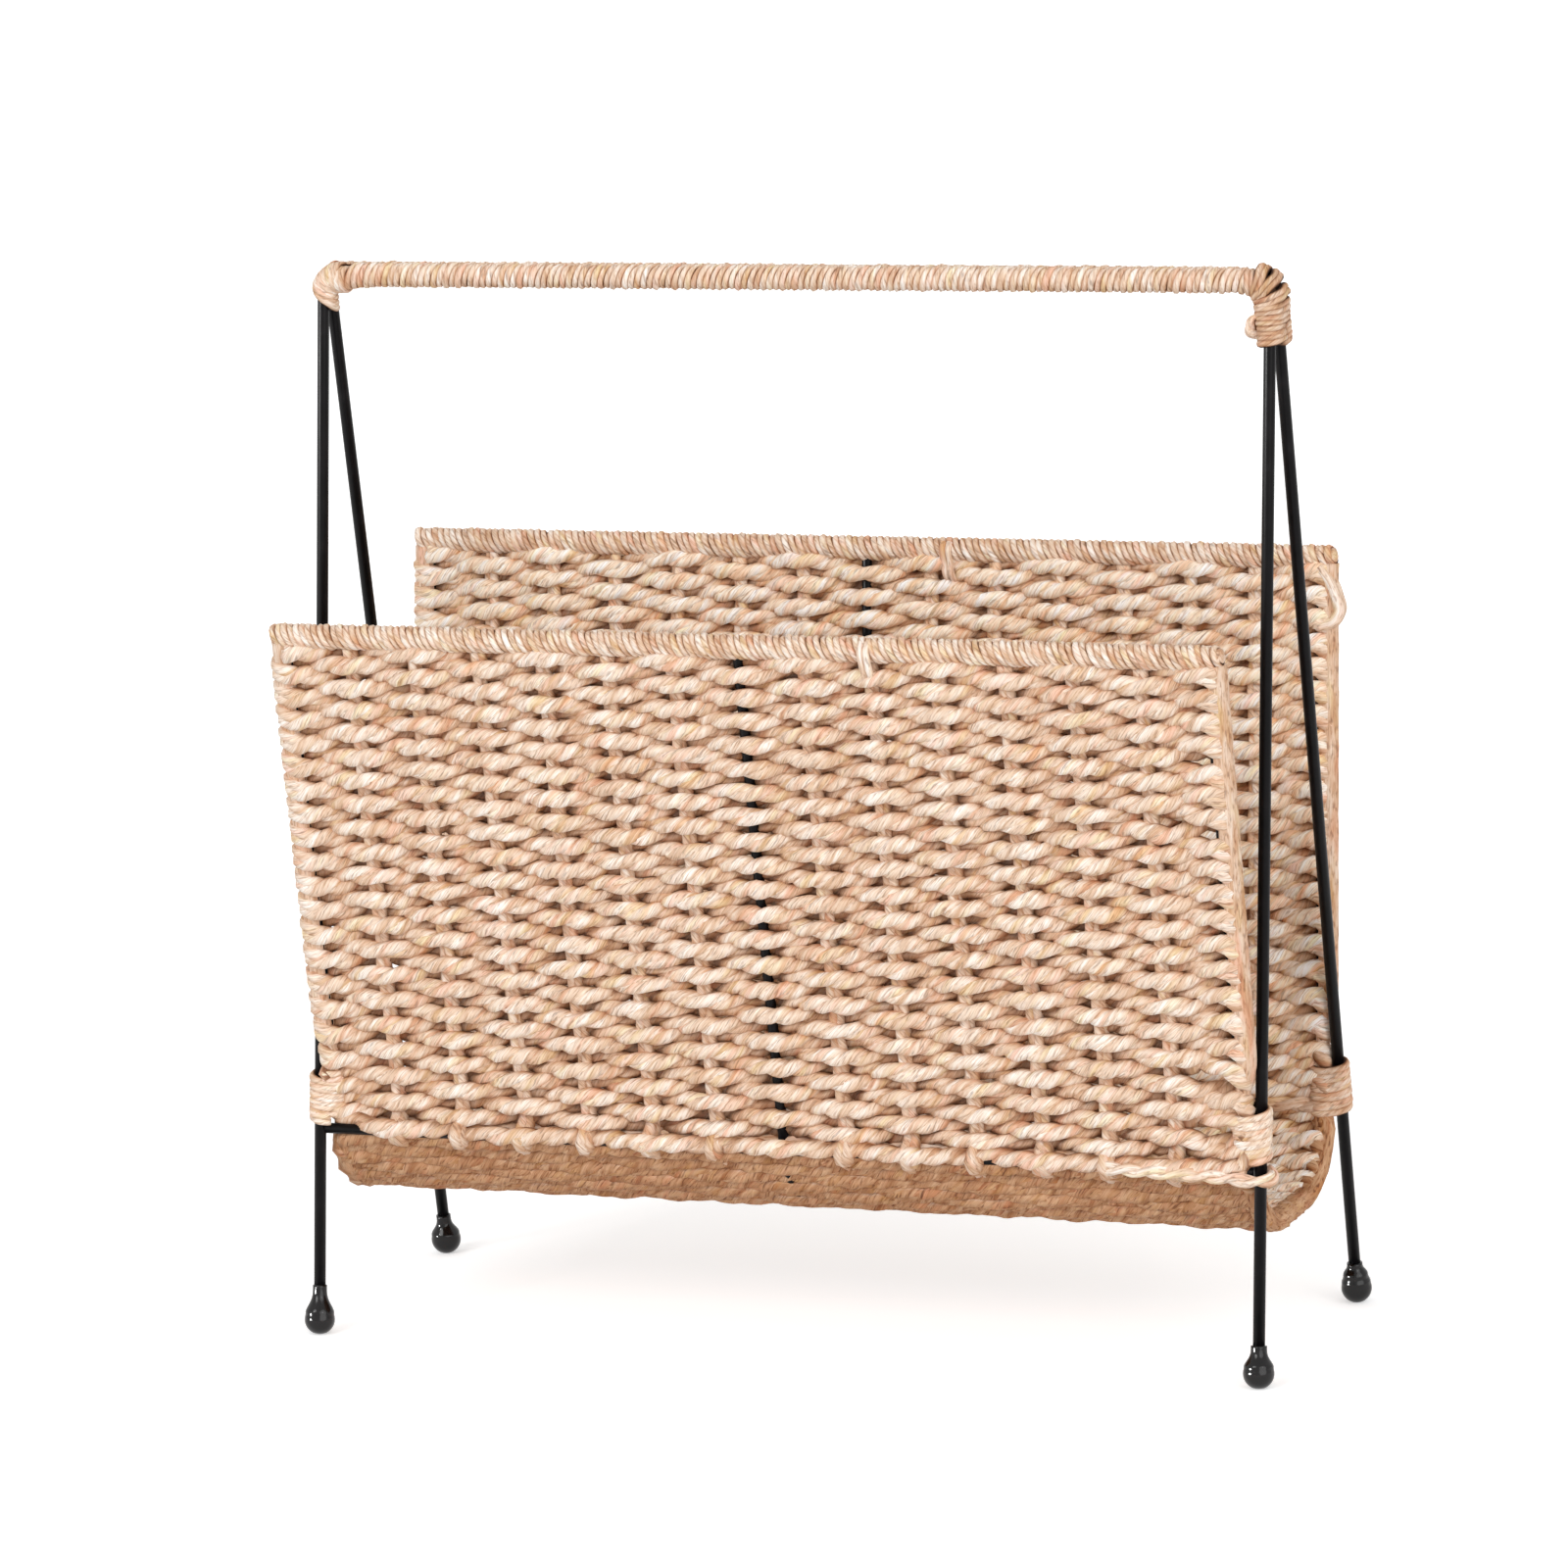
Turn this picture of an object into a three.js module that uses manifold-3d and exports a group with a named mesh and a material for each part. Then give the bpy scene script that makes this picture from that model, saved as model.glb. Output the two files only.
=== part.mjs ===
import * as THREE from "three";
import { mergeVertices } from "three/addons/utils/BufferGeometryUtils.js";
import Module from "manifold-3d";

// A magazine basket: a black rod frame that carries a trough woven from twisted straw cord.
// Millimetres. X runs along the handle, Y from front to back and Z up from the floor.
// The origin is on the floor, in the middle of the footprint.

// Fit between pieces
const clearance = 0.3; // between two pieces that touch
const overrun = 6; // how far a cut runs past the piece that it cuts

// Leg frames: two rods, each bent into an upside-down U, side by side along the handle
const legSpan = 370; // left legs to right legs, at the rod centres
const handleHeight = 393; // floor to the centres of the handle rods
const footSpread = 120; // front foot to back foot, at the ball centres
const frameRod = 4.5; // rod diameter
const cornerBend = 8; // centre-line radius where the handle turns down into a leg

// Feet: dipped balls with a short neck up the leg
const footBall = 11.5; // widest diameter
const footLength = 15.8; // from the bottom of the ball to the top of the neck
const footNeck = 6.6; // diameter at the top of the neck
const footFlat = 0.35; // height of the slice that is worn off where it stands
const footSeat = 1; // from the ball's centre up to the end of the rod
const neckHollowShare = 0.25; // how far the neck's hollow is filled out towards the ball

// Trough skeleton: three U hoops, two top rails and two sill rails
const hoopRod = 4; // hoop diameter
const railRod = 4; // top rail diameter
const sillRod = 4; // sill rail diameter
const railOut = 68; // from the middle plane out to each top rail
const frontRailHeight = 268.5; // floor to the front top rail
const backRailHeight = 280.5; // floor to the back top rail
const sillHeight = 77; // floor to the sill rails, where they meet the legs
const troughBend = 30; // radius of the hoops' bottom corners

// Weaving
const weaveThickness = 11.5; // through the stakes and the strands on both sides
const edgeCover = 2; // strand that turns round the outside of an end hoop
const stakeCord = 4; // diameter of the upright cords
const stakesPerHalf = 6; // upright cords between an end hoop and the centre hoop

// Wraps: the cord wound round the handle, the rails, the corners and the lower joints
const wrapGap = 0.75; // between one loop and the next
const handleWrapDepth = 2.2;
const handleWrapLoops = 24;
const railWrapDepth = 3.2;
const railWrapLoops = 24;
const cornerWrapDepth = 2.4;
const cornerWrapGap = 1.3; // wider, because the loops close up inside the bend
const cornerWrapStart = 1.5; // how far it begins along the handle, before the bend
const leftCornerDrop = 5.5; // how far it runs down the legs, past the bend
const rightCornerDrop = 18;
const leftCornerLoops = 4;
const rightCornerLoops = 7;
const lashDepth = 2.2;
const lashLength = 21; // how far each lower lashing runs up the leg
const lashLoops = 4;

// Knot of the cord's end, on the inner side of the right corner wrap
const knotThickness = 4.6;
const knotWidth = 6;
const knotHeight = 10.6;
const knotDrop = 18; // from the handle's centre down to the knot's centre

// Facets
const frameSides = 10;
const hoopSides = 8;
const railSides = 10;
const stakeSides = 6;
const bendSteps = 6;
const troughSteps = 4;
const footSides = 12;
const knotSides = 10;
const knotRings = 8;
const ovalWindingSteps = 10;
const roundWindingSteps = 8;

// Sizes that follow from these
const frameOffset = (frameRod + clearance) / 2; // middle plane to a handle rod
const ballHeight = footBall / 2 - footFlat;
const weaveHalfWidth = legSpan / 2 - frameRod / 2 - clearance;
const hoopPlace = weaveHalfWidth - edgeCover - hoopRod / 2;
const railWrapOuter = railRod / 2 + clearance + railWrapDepth;
const frameWrapInner = frameRod / 2 + clearance;
const bendTravel = (cornerBend * Math.PI) / 2;
const ends = { left: -1, right: 1 };
const sides = { front: -1, back: 1 };

const wasm = await Module();
wasm.setup();

// Materials
const blackPaint = new THREE.MeshStandardMaterial({
  color: 0x232123,
  roughness: 0.45,
  metalness: 0.2,
});
const footDip = new THREE.MeshStandardMaterial({
  color: 0x1b1718,
  roughness: 0.2,
  metalness: 0,
});
const strawCord = new THREE.MeshStandardMaterial({
  color: 0xe0bd94,
  roughness: 0.85,
  metalness: 0,
});
const shadedCord = new THREE.MeshStandardMaterial({
  color: 0xcfa87d,
  roughness: 0.85,
  metalness: 0,
});

const basket = new THREE.Group();

function place(name, geometry, material) {
  const mesh = new THREE.Mesh(geometry, material);
  mesh.name = name;
  basket.add(mesh);
}

// Solids from geometries, and back, for the cuts

function solid(geometry) {
  const bare = geometry.clone();
  bare.deleteAttribute("normal");
  bare.deleteAttribute("uv");
  const merged = mergeVertices(bare);
  const vertProperties = merged.attributes.position.array;
  const triVerts = new Uint32Array(merged.index.array);
  return new wasm.Manifold(new wasm.Mesh({ numProp: 3, vertProperties, triVerts }));
}

function surface(manifold) {
  const mesh = manifold.getMesh();
  const geometry = new THREE.BufferGeometry();
  geometry.setAttribute("position", new THREE.BufferAttribute(mesh.vertProperties, 3));
  geometry.setIndex(new THREE.BufferAttribute(mesh.triVerts, 1));
  geometry.computeVertexNormals();
  return geometry;
}

// Rods and cords: a round section along a route that turns only at its stations

class Route extends THREE.Curve {
  constructor(stations) {
    super();
    this.stations = stations;
  }
  getPoint(t, target = new THREE.Vector3()) {
    const last = this.stations.length - 1;
    const from = Math.min(Math.floor(t * last), last - 1);
    return target.lerpVectors(this.stations[from], this.stations[from + 1], t * last - from);
  }
  getTangent(t, target = new THREE.Vector3()) {
    const last = this.stations.length - 1;
    const at = Math.round(t * last);
    const here = this.stations[at];
    const before = here.clone().sub(this.stations[Math.max(at - 1, 0)]);
    const after = this.stations[Math.min(at + 1, last)].clone().sub(here);
    return target.addVectors(before.normalize(), after.normalize()).normalize();
  }
  getUtoTmapping(u) {
    return u;
  }
}

function rod(stations, diameter, sideCount) {
  const section = [];
  for (let i = 0; i < sideCount; i++) {
    const angle = (2 * Math.PI * i) / sideCount;
    section.push(new THREE.Vector2(Math.cos(angle), Math.sin(angle)).multiplyScalar(diameter / 2));
  }
  return new THREE.ExtrudeGeometry(new THREE.Shape(section), {
    steps: stations.length - 1,
    extrudePath: new Route(stations),
  });
}

function straightRod(halfLength, y, z, diameter) {
  const stations = [new THREE.Vector3(-halfLength, y, z), new THREE.Vector3(halfLength, y, z)];
  return rod(stations, diameter, railSides);
}

// Leg frames

function legTop(end, side) {
  return new THREE.Vector3((end * legSpan) / 2, side * frameOffset, handleHeight);
}

function legBall(end, side) {
  return new THREE.Vector3((end * legSpan) / 2, (side * footSpread) / 2, ballHeight);
}

function legDown(end, side) {
  return legBall(end, side).sub(legTop(end, side)).normalize();
}

// How far a leg's centre line stands from the middle plane at a height.
function legOut(height) {
  const share = (handleHeight - height) / (handleHeight - ballHeight);
  return frameOffset + (footSpread / 2 - frameOffset) * share;
}

// A point on a frame rod and its heading, by the travel from where its bend starts.
function frameRodAt(end, side, travel) {
  const out = new THREE.Vector3(end, 0, 0);
  const down = legDown(end, side);
  const point = legTop(end, side);
  const turn = Math.min(Math.max(travel / cornerBend, 0), Math.PI / 2);
  const heading = out.clone().multiplyScalar(Math.cos(turn)).addScaledVector(down, Math.sin(turn));
  if (travel <= 0) {
    point.addScaledVector(out, travel - cornerBend);
  } else if (travel >= bendTravel) {
    point.addScaledVector(down, cornerBend + travel - bendTravel);
  } else {
    point.addScaledVector(out, cornerBend * (Math.sin(turn) - 1));
    point.addScaledVector(down, cornerBend * (1 - Math.cos(turn)));
  }
  return { point, heading };
}

function frameStations(side) {
  const left = [];
  const right = [];
  for (let i = 0; i <= bendSteps; i++) {
    const travel = (bendTravel * i) / bendSteps;
    left.unshift(frameRodAt(ends.left, side, travel).point);
    right.push(frameRodAt(ends.right, side, travel).point);
  }
  const seat = (end) => legBall(end, side).addScaledVector(legDown(end, side), -footSeat);
  return [seat(ends.left), ...left, ...right, seat(ends.right)];
}

for (const [word, side] of Object.entries(sides)) {
  place("leg_frame_" + word, rod(frameStations(side), frameRod, frameSides), blackPaint);
}

// Feet: turned round the leg's axis, cut flat on the floor, with a blind socket for the rod

function footSolid(end, side) {
  const ball = footBall / 2;
  const neckTop = footLength - ball;
  const profile = [new THREE.Vector2(0, -ball)];
  const ballAngles = 7;
  const shoulder = Math.PI / 4; // where the neck leaves the ball
  for (let i = 1; i <= ballAngles; i++) {
    const angle = -Math.PI / 2 + ((Math.PI / 2 + shoulder) * i) / ballAngles;
    profile.push(new THREE.Vector2(Math.cos(angle), Math.sin(angle)).multiplyScalar(ball));
  }
  const shoulderPoint = profile.at(-1);
  const neck = new THREE.Vector2(footNeck / 2, neckTop);
  const hollow = new THREE.Vector2(neck.x, (shoulderPoint.y + neck.y) / 2);
  profile.push(hollow.lerp(shoulderPoint, neckHollowShare));
  profile.push(neck);
  profile.push(new THREE.Vector2(0, neckTop));
  const turned = new THREE.LatheGeometry(profile, footSides);
  turned.rotateX(Math.PI / 2);
  const up = legDown(end, side).negate();
  const tilt = new THREE.Quaternion().setFromUnitVectors(new THREE.Vector3(0, 0, 1), up);
  turned.applyQuaternion(tilt);
  const centre = legBall(end, side);
  turned.translate(centre.x, centre.y, centre.z);

  const above = new THREE.BoxGeometry(2 * footBall, 2 * footBall, 2 * footLength);
  above.translate(centre.x, centre.y, footLength);

  const socketBottom = centre.clone().addScaledVector(up, footSeat - clearance);
  const socketTop = centre.clone().addScaledVector(up, footLength + overrun);
  const socket = rod([socketBottom, socketTop], frameRod + 2 * clearance, frameSides);
  return surface(solid(turned).intersect(solid(above)).subtract(solid(socket)));
}

for (const [endWord, end] of Object.entries(ends)) {
  for (const [sideWord, side] of Object.entries(sides)) {
    place("foot_" + sideWord + "_" + endWord, footSolid(end, side), footDip);
  }
}

// Trough profile: each wall is a straight line from its rail down to a bend of troughBend.
// Points are (distance out from the middle plane, height).

function wall(side, railHeight) {
  const rail = new THREE.Vector2(railOut, railHeight);
  const sill = new THREE.Vector2(legOut(sillHeight), sillHeight);
  const step = (hoopRod + sillRod) / 2 + clearance; // the hoops pass inside the sill rail
  const reach = rail.clone().sub(sill);
  const lean = Math.atan2(reach.x, reach.y) + Math.asin(step / reach.length());
  const along = new THREE.Vector2(Math.sin(lean), Math.cos(lean));
  const outward = new THREE.Vector2(Math.cos(lean), -Math.sin(lean));
  const foot = sill.clone().addScaledVector(outward, -step);
  const hub = foot.clone().addScaledVector(outward, -troughBend);
  return { side, rail, sill, lean, along, outward, foot, hub };
}

const frontWall = wall(sides.front, frontRailHeight);
const backWall = wall(sides.back, backRailHeight);
const walls = { front: frontWall, back: backWall };

// A point of a wall's bend, offset outwards: share 0 is at the wall, 1 at the very bottom.
function bendPoint(w, share, offset) {
  const angle = w.lean + (Math.PI / 2 - w.lean) * share;
  const direction = new THREE.Vector2(Math.cos(angle), -Math.sin(angle));
  return w.hub.clone().addScaledVector(direction, troughBend + offset);
}

// A point on a wall's straight part: up along it from a point, offset outwards.
function wallPoint(w, from, up, offset) {
  return from.clone().addScaledVector(w.along, up).addScaledVector(w.outward, offset);
}

// The upright's route: front top, round the bottom, back top. rise is measured from the rails.
function uprightStations(x, rise) {
  const inSpace = (w, p) => new THREE.Vector3(x, w.side * p.x, p.y);
  const front = [inSpace(frontWall, wallPoint(frontWall, frontWall.rail, rise, 0))];
  const back = [inSpace(backWall, wallPoint(backWall, backWall.rail, rise, 0))];
  for (let i = 0; i <= troughSteps; i++) {
    front.push(inSpace(frontWall, bendPoint(frontWall, i / troughSteps, 0)));
    back.push(inSpace(backWall, bendPoint(backWall, i / troughSteps, 0)));
  }
  return [...front, ...back.reverse()];
}

// Hoops: the end ones rise past the rails, which butt between them, and the centre one
// stops under the rail wraps, as the stakes do.

const endHoopRise = railRod / 2;
const underWrap = -(railWrapOuter + clearance);
const uprightSlots = [];

function placeUpright(name, x, rise, diameter, sideCount, material) {
  place(name, rod(uprightStations(x, rise), diameter, sideCount), material);
  const slotStations = uprightStations(x, overrun);
  uprightSlots.push(solid(rod(slotStations, diameter + 2 * clearance, sideCount)));
}

placeUpright("hoop_left", -hoopPlace, endHoopRise, hoopRod, hoopSides, blackPaint);
placeUpright("hoop_centre", 0, underWrap, hoopRod, hoopSides, blackPaint);
placeUpright("hoop_right", hoopPlace, endHoopRise, hoopRod, hoopSides, blackPaint);

const stakePitch = hoopPlace / (stakesPerHalf + 1);
let stakeNumber = 0;
for (let i = -stakesPerHalf; i <= stakesPerHalf; i++) {
  if (i !== 0) {
    stakeNumber += 1;
    const name = "stake_" + String(stakeNumber).padStart(2, "0");
    placeUpright(name, i * stakePitch, underWrap, stakeCord, stakeSides, strawCord);
  }
}

// Rails: the top ones butt between the end hoops, the sill ones between the legs

const topRailHalf = hoopPlace - hoopRod / 2 - clearance;
const sillHalf = legSpan / 2 - frameRod / 2 - clearance;
for (const [word, w] of Object.entries(walls)) {
  const top = straightRod(topRailHalf, w.side * w.rail.x, w.rail.y, railRod);
  place("top_rail_" + word, top, blackPaint);
  const sill = straightRod(sillHalf, w.side * w.sill.x, w.sill.y, sillRod);
  place("sill_rail_" + word, sill, blackPaint);
}

// Weaving: front wall, bottom and back wall, with slots for the uprights and the sill rails.
// A corner is left open over each sill rail's end, where the hoop is lashed to the leg.

const lashBottom = sillHeight + sillRod / 2 + clearance;
const lashTop = lashBottom + lashLength;
const lashReach = frameWrapInner + lashDepth; // from a rod's centre to the outside of a lashing
const notchInner = hoopPlace - lashReach - clearance;

// Extrudes an outline of (y, height) points along X, over the weave's whole width.
function acrossWidth(points) {
  const depth = 2 * weaveHalfWidth;
  const panel = new THREE.ExtrudeGeometry(new THREE.Shape(points), { depth, bevelEnabled: false });
  const turn = new THREE.Matrix4().makeBasis(
    new THREE.Vector3(0, 1, 0),
    new THREE.Vector3(0, 0, 1),
    new THREE.Vector3(1, 0, 0),
  );
  panel.applyMatrix4(turn);
  panel.translate(-weaveHalfWidth, 0, 0);
  return solid(panel);
}

function sillSlot(w) {
  const diameter = sillRod + 2 * clearance;
  return solid(straightRod(sillHalf + overrun, w.side * w.sill.x, w.sill.y, diameter));
}

function lashNotch(end, w) {
  const width = weaveHalfWidth + overrun - notchInner;
  const height = lashTop + clearance - w.foot.y + overrun;
  const notch = new THREE.BoxGeometry(width, 2 * w.rail.x, height);
  notch.translate(end * (notchInner + width / 2), w.side * w.rail.x, w.foot.y - overrun + height / 2);
  return solid(notch);
}

function cutSlots(panel, crossedWalls) {
  let cut = panel;
  for (const slot of uprightSlots) {
    cut = cut.subtract(slot);
  }
  for (const w of crossedWalls) {
    cut = cut.subtract(sillSlot(w));
  }
  return cut;
}

function wallPanel(w) {
  const half = weaveThickness / 2;
  const corners = [
    wallPoint(w, w.foot, clearance / 2, -half),
    wallPoint(w, w.foot, clearance / 2, half),
    wallPoint(w, w.rail, underWrap, half),
    wallPoint(w, w.rail, underWrap, -half),
  ];
  const outline = corners.map((p) => new THREE.Vector2(w.side * p.x, p.y));
  let panel = cutSlots(acrossWidth(outline), [w]);
  for (const end of Object.values(ends)) {
    panel = panel.subtract(lashNotch(end, w));
  }
  return surface(panel);
}

function bottomPanel() {
  const half = weaveThickness / 2;
  const run = (w, offset) => {
    const points = [wallPoint(w, w.foot, -clearance / 2, offset)];
    for (let i = 1; i <= troughSteps; i++) {
      points.push(bendPoint(w, i / troughSteps, offset));
    }
    return points.map((p) => new THREE.Vector2(w.side * p.x, p.y));
  };
  const outside = [...run(frontWall, half), ...run(backWall, half).reverse()];
  const inside = [...run(frontWall, -half), ...run(backWall, -half).reverse()];
  const outline = [...outside, ...inside.reverse()];
  return surface(cutSlots(acrossWidth(outline), [frontWall, backWall]));
}

place("weave_front", wallPanel(frontWall), strawCord);
place("weave_back", wallPanel(backWall), strawCord);
place("weave_bottom", bottomPanel(), shadedCord);

// Windings: one unbroken tube, wound round one rod or round two rods side by side.
// rodsAt(travel) gives the two rod centres, the direction across them and the heading.

const windingSectionShares = [
  // (share of the tube's width, share of its depth)
  [-0.5, 0],
  [0.5, 0],
  [0.5, 0.6],
  [0, 1],
  [-0.5, 0.6],
];

// How wide the tube is when its loops fill a length with gaps between them.
function windingWidth(length, loops, gap) {
  return (length - gap * loops) / (loops + 1);
}

function winding(name, { rodsAt, start, length, loops, steps, inner, depth, gap, turn }) {
  const width = windingWidth(length, loops, gap);
  const pitch = width + gap;
  const shellPoint = (travel, angle, reach) => {
    const { a, b, across, heading } = rodsAt(travel);
    const third = new THREE.Vector3().crossVectors(heading, across).normalize();
    const point = Math.cos(angle) < 0 ? a.clone() : b.clone();
    point.addScaledVector(across, reach * Math.cos(angle));
    return point.addScaledVector(third, reach * Math.sin(angle));
  };
  const rings = [];
  for (let i = 0; i <= loops * steps; i++) {
    const travel = start + width / 2 + (pitch * i) / steps;
    const angle = (turn * 2 * Math.PI * i) / steps;
    const ring = windingSectionShares.map(([widthShare, depthShare]) =>
      shellPoint(travel + width * widthShare, angle, inner + depth * depthShare),
    );
    rings.push(ring);
  }
  printLeastGap(name, rings, steps);
  return joinRings(rings);
}

// The least distance between points that are at least half a loop apart along the tube.
function printLeastGap(name, rings, steps) {
  let least = Infinity;
  for (let i = 0; i < rings.length; i++) {
    for (let j = i + Math.ceil(steps / 2); j < rings.length; j++) {
      for (const p of rings[i]) {
        for (const q of rings[j]) {
          least = Math.min(least, p.distanceTo(q));
        }
      }
    }
  }
  console.log(name + ": least gap to itself " + least.toFixed(2) + " mm");
}

// Closes a row of rings into one tube with flat ends, its faces turned outwards.
function joinRings(rings) {
  const count = rings[0].length;
  const positions = rings.flat().flatMap((p) => [p.x, p.y, p.z]);
  const faces = [];
  for (let i = 0; i + 1 < rings.length; i++) {
    for (let j = 0; j < count; j++) {
      const next = (j + 1) % count;
      const [p, q] = [i * count + j, i * count + next];
      const [r, s] = [p + count, q + count];
      faces.push([p, q, s], [p, s, r]);
    }
  }
  const last = (rings.length - 1) * count;
  for (let j = 1; j + 1 < count; j++) {
    faces.push([0, j + 1, j], [last, last + j, last + j + 1]);
  }
  const corner = (i) => new THREE.Vector3().fromArray(positions, 3 * i);
  let volume = 0;
  for (const [p, q, r] of faces) {
    volume += corner(p).dot(corner(q).cross(corner(r)));
  }
  const outward = volume > 0 ? faces : faces.map(([p, q, r]) => [p, r, q]);
  const geometry = new THREE.BufferGeometry();
  geometry.setAttribute("position", new THREE.Float32BufferAttribute(positions, 3));
  geometry.setIndex(outward.flat());
  geometry.computeVertexNormals();
  return geometry;
}

// Handle wrap and rail wraps: straight, between the corner wraps or between the end hoops

function straightRods(y, spacing, z) {
  return (travel) => ({
    a: new THREE.Vector3(travel, y - spacing, z),
    b: new THREE.Vector3(travel, y + spacing, z),
    across: new THREE.Vector3(0, 1, 0),
    heading: new THREE.Vector3(1, 0, 0),
  });
}

const handleWrapHalf = legSpan / 2 - cornerBend - cornerWrapStart - clearance;
const handleWrap = winding("handle_wrap", {
  rodsAt: straightRods(0, frameOffset, handleHeight),
  start: -handleWrapHalf,
  length: 2 * handleWrapHalf,
  loops: handleWrapLoops,
  steps: ovalWindingSteps,
  inner: frameWrapInner,
  depth: handleWrapDepth,
  gap: wrapGap,
  turn: 1,
});
place("handle_wrap", handleWrap, strawCord);

for (const [word, w] of Object.entries(walls)) {
  const wrap = winding("rail_wrap_" + word, {
    rodsAt: straightRods(w.side * w.rail.x, 0, w.rail.y),
    start: -topRailHalf,
    length: 2 * topRailHalf,
    loops: railWrapLoops,
    steps: roundWindingSteps,
    inner: railRod / 2 + clearance,
    depth: railWrapDepth,
    gap: wrapGap,
    turn: -1,
  });
  place("rail_wrap_" + word, wrap, strawCord);
}

// Corner wraps: round both frame rods, from the handle through the bend and down the legs

function cornerRods(end) {
  return (travel) => {
    const front = frameRodAt(end, sides.front, travel);
    const back = frameRodAt(end, sides.back, travel);
    const heading = front.heading.clone().add(back.heading).normalize();
    return { a: front.point, b: back.point, across: new THREE.Vector3(0, 1, 0), heading };
  };
}

// The tube's flat inner face spans the bend as a chord, so it stands off the rods by the rise.
function cornerWrapInner(length, loops) {
  const halfAngle = windingWidth(length, loops, cornerWrapGap) / (2 * cornerBend);
  return frameWrapInner + (cornerBend + frameWrapInner) * (1 - Math.cos(halfAngle));
}

const rightCornerLength = cornerWrapStart + bendTravel + rightCornerDrop;
const cornerWraps = [
  ["left", ends.left, cornerWrapStart + bendTravel + leftCornerDrop, leftCornerLoops],
  ["right", ends.right, rightCornerLength, rightCornerLoops],
];
for (const [word, end, length, loops] of cornerWraps) {
  const name = "corner_wrap_" + word;
  const wrap = winding(name, {
    rodsAt: cornerRods(end),
    start: -cornerWrapStart,
    length,
    loops,
    steps: ovalWindingSteps,
    inner: cornerWrapInner(length, loops),
    depth: cornerWrapDepth,
    gap: cornerWrapGap,
    turn: end,
  });
  place(name, wrap, strawCord);
}

const knot = new THREE.SphereGeometry(1 / 2, knotSides, knotRings);
knot.scale(knotThickness, knotWidth, knotHeight);
const rightCornerReach = cornerWrapInner(rightCornerLength, rightCornerLoops) + cornerWrapDepth;
knot.translate(
  legSpan / 2 - rightCornerReach - clearance - knotThickness / 2,
  -legOut(handleHeight - knotDrop),
  handleHeight - knotDrop,
);
place("handle_knot", surface(solid(knot)), strawCord);

// Lashings: each binds an end hoop to a leg, just over the sill rail

function lashedRods(end, w) {
  return (height) => {
    const leg = new THREE.Vector3((end * legSpan) / 2, w.side * legOut(height), height);
    const upWall = (height - w.foot.y) / w.along.y;
    const onHoop = wallPoint(w, w.foot, upWall, 0);
    const hoop = new THREE.Vector3(end * hoopPlace, w.side * onHoop.x, height);
    const across = leg.clone().sub(hoop).normalize();
    return { a: hoop, b: leg, across, heading: new THREE.Vector3(0, 0, 1) };
  };
}

for (const [endWord, end] of Object.entries(ends)) {
  for (const [sideWord, w] of Object.entries(walls)) {
    const name = "lashing_" + sideWord + "_" + endWord;
    const lashing = winding(name, {
      rodsAt: lashedRods(end, w),
      start: lashBottom,
      length: lashLength,
      loops: lashLoops,
      steps: ovalWindingSteps,
      inner: frameWrapInner,
      depth: lashDepth,
      gap: wrapGap,
      turn: end,
    });
    place(name, lashing, strawCord);
  }
}

export default basket;
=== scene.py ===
# A magazine basket: a black rod frame carrying a trough of woven, twisted paper cord.
# Metres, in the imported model's own frame: X along the handle, Y to the back, Z up.
import math
from collections import namedtuple

import bmesh
import bpy
import numpy as np
from mathutils import Matrix, Vector


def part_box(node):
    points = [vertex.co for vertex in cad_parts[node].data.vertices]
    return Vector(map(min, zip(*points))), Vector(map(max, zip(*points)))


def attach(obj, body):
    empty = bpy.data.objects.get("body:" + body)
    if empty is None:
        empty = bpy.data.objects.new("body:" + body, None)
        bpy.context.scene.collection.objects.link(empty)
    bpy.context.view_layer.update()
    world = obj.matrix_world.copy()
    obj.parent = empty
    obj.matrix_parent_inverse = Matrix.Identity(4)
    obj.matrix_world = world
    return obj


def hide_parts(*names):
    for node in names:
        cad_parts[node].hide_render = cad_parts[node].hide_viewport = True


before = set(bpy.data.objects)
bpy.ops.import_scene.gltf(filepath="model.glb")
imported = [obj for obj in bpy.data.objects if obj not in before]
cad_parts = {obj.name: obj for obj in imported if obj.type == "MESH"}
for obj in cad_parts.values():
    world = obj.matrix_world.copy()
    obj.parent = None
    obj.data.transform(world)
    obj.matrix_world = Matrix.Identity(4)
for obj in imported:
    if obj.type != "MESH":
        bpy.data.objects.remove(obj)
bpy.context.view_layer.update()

MM = 0.001
PI = math.pi

# Camera, fitted to the photograph by the feet, the legs, the handle and the walls' corners
PHOTO_SIZE_PX = 1600
FOCAL_LENGTH_PX = 8262.4
SENSOR_WIDTH = 36.0  # Blender's own unit for lenses, millimetres
CAMERA_TARGET = Vector((0, 0, 200 * MM))
CAMERA_YAW = 0.37572
CAMERA_PITCH = 0.19950
CAMERA_ROLL = -0.04698
CAMERA_SLIDE = (10.586 * MM, -3.925 * MM)
CAMERA_DISTANCE = 2993.5 * MM

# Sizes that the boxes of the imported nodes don't tell
FIT = 0.3 * MM  # the gap between two touching solids
TROUGH_BEND = 30 * MM  # radius of the hoops' bottom corners
HANDLE_BEND = 8 * MM  # radius where the handle turns down into a leg
FOOT_BALL = 11.5 * MM
FOOT_NECK_TOP = 10 * MM  # from the ball's centre up to where the dip ends
FOOT_FLAT = 0.35 * MM  # how much of the ball is missing where it stands

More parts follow.
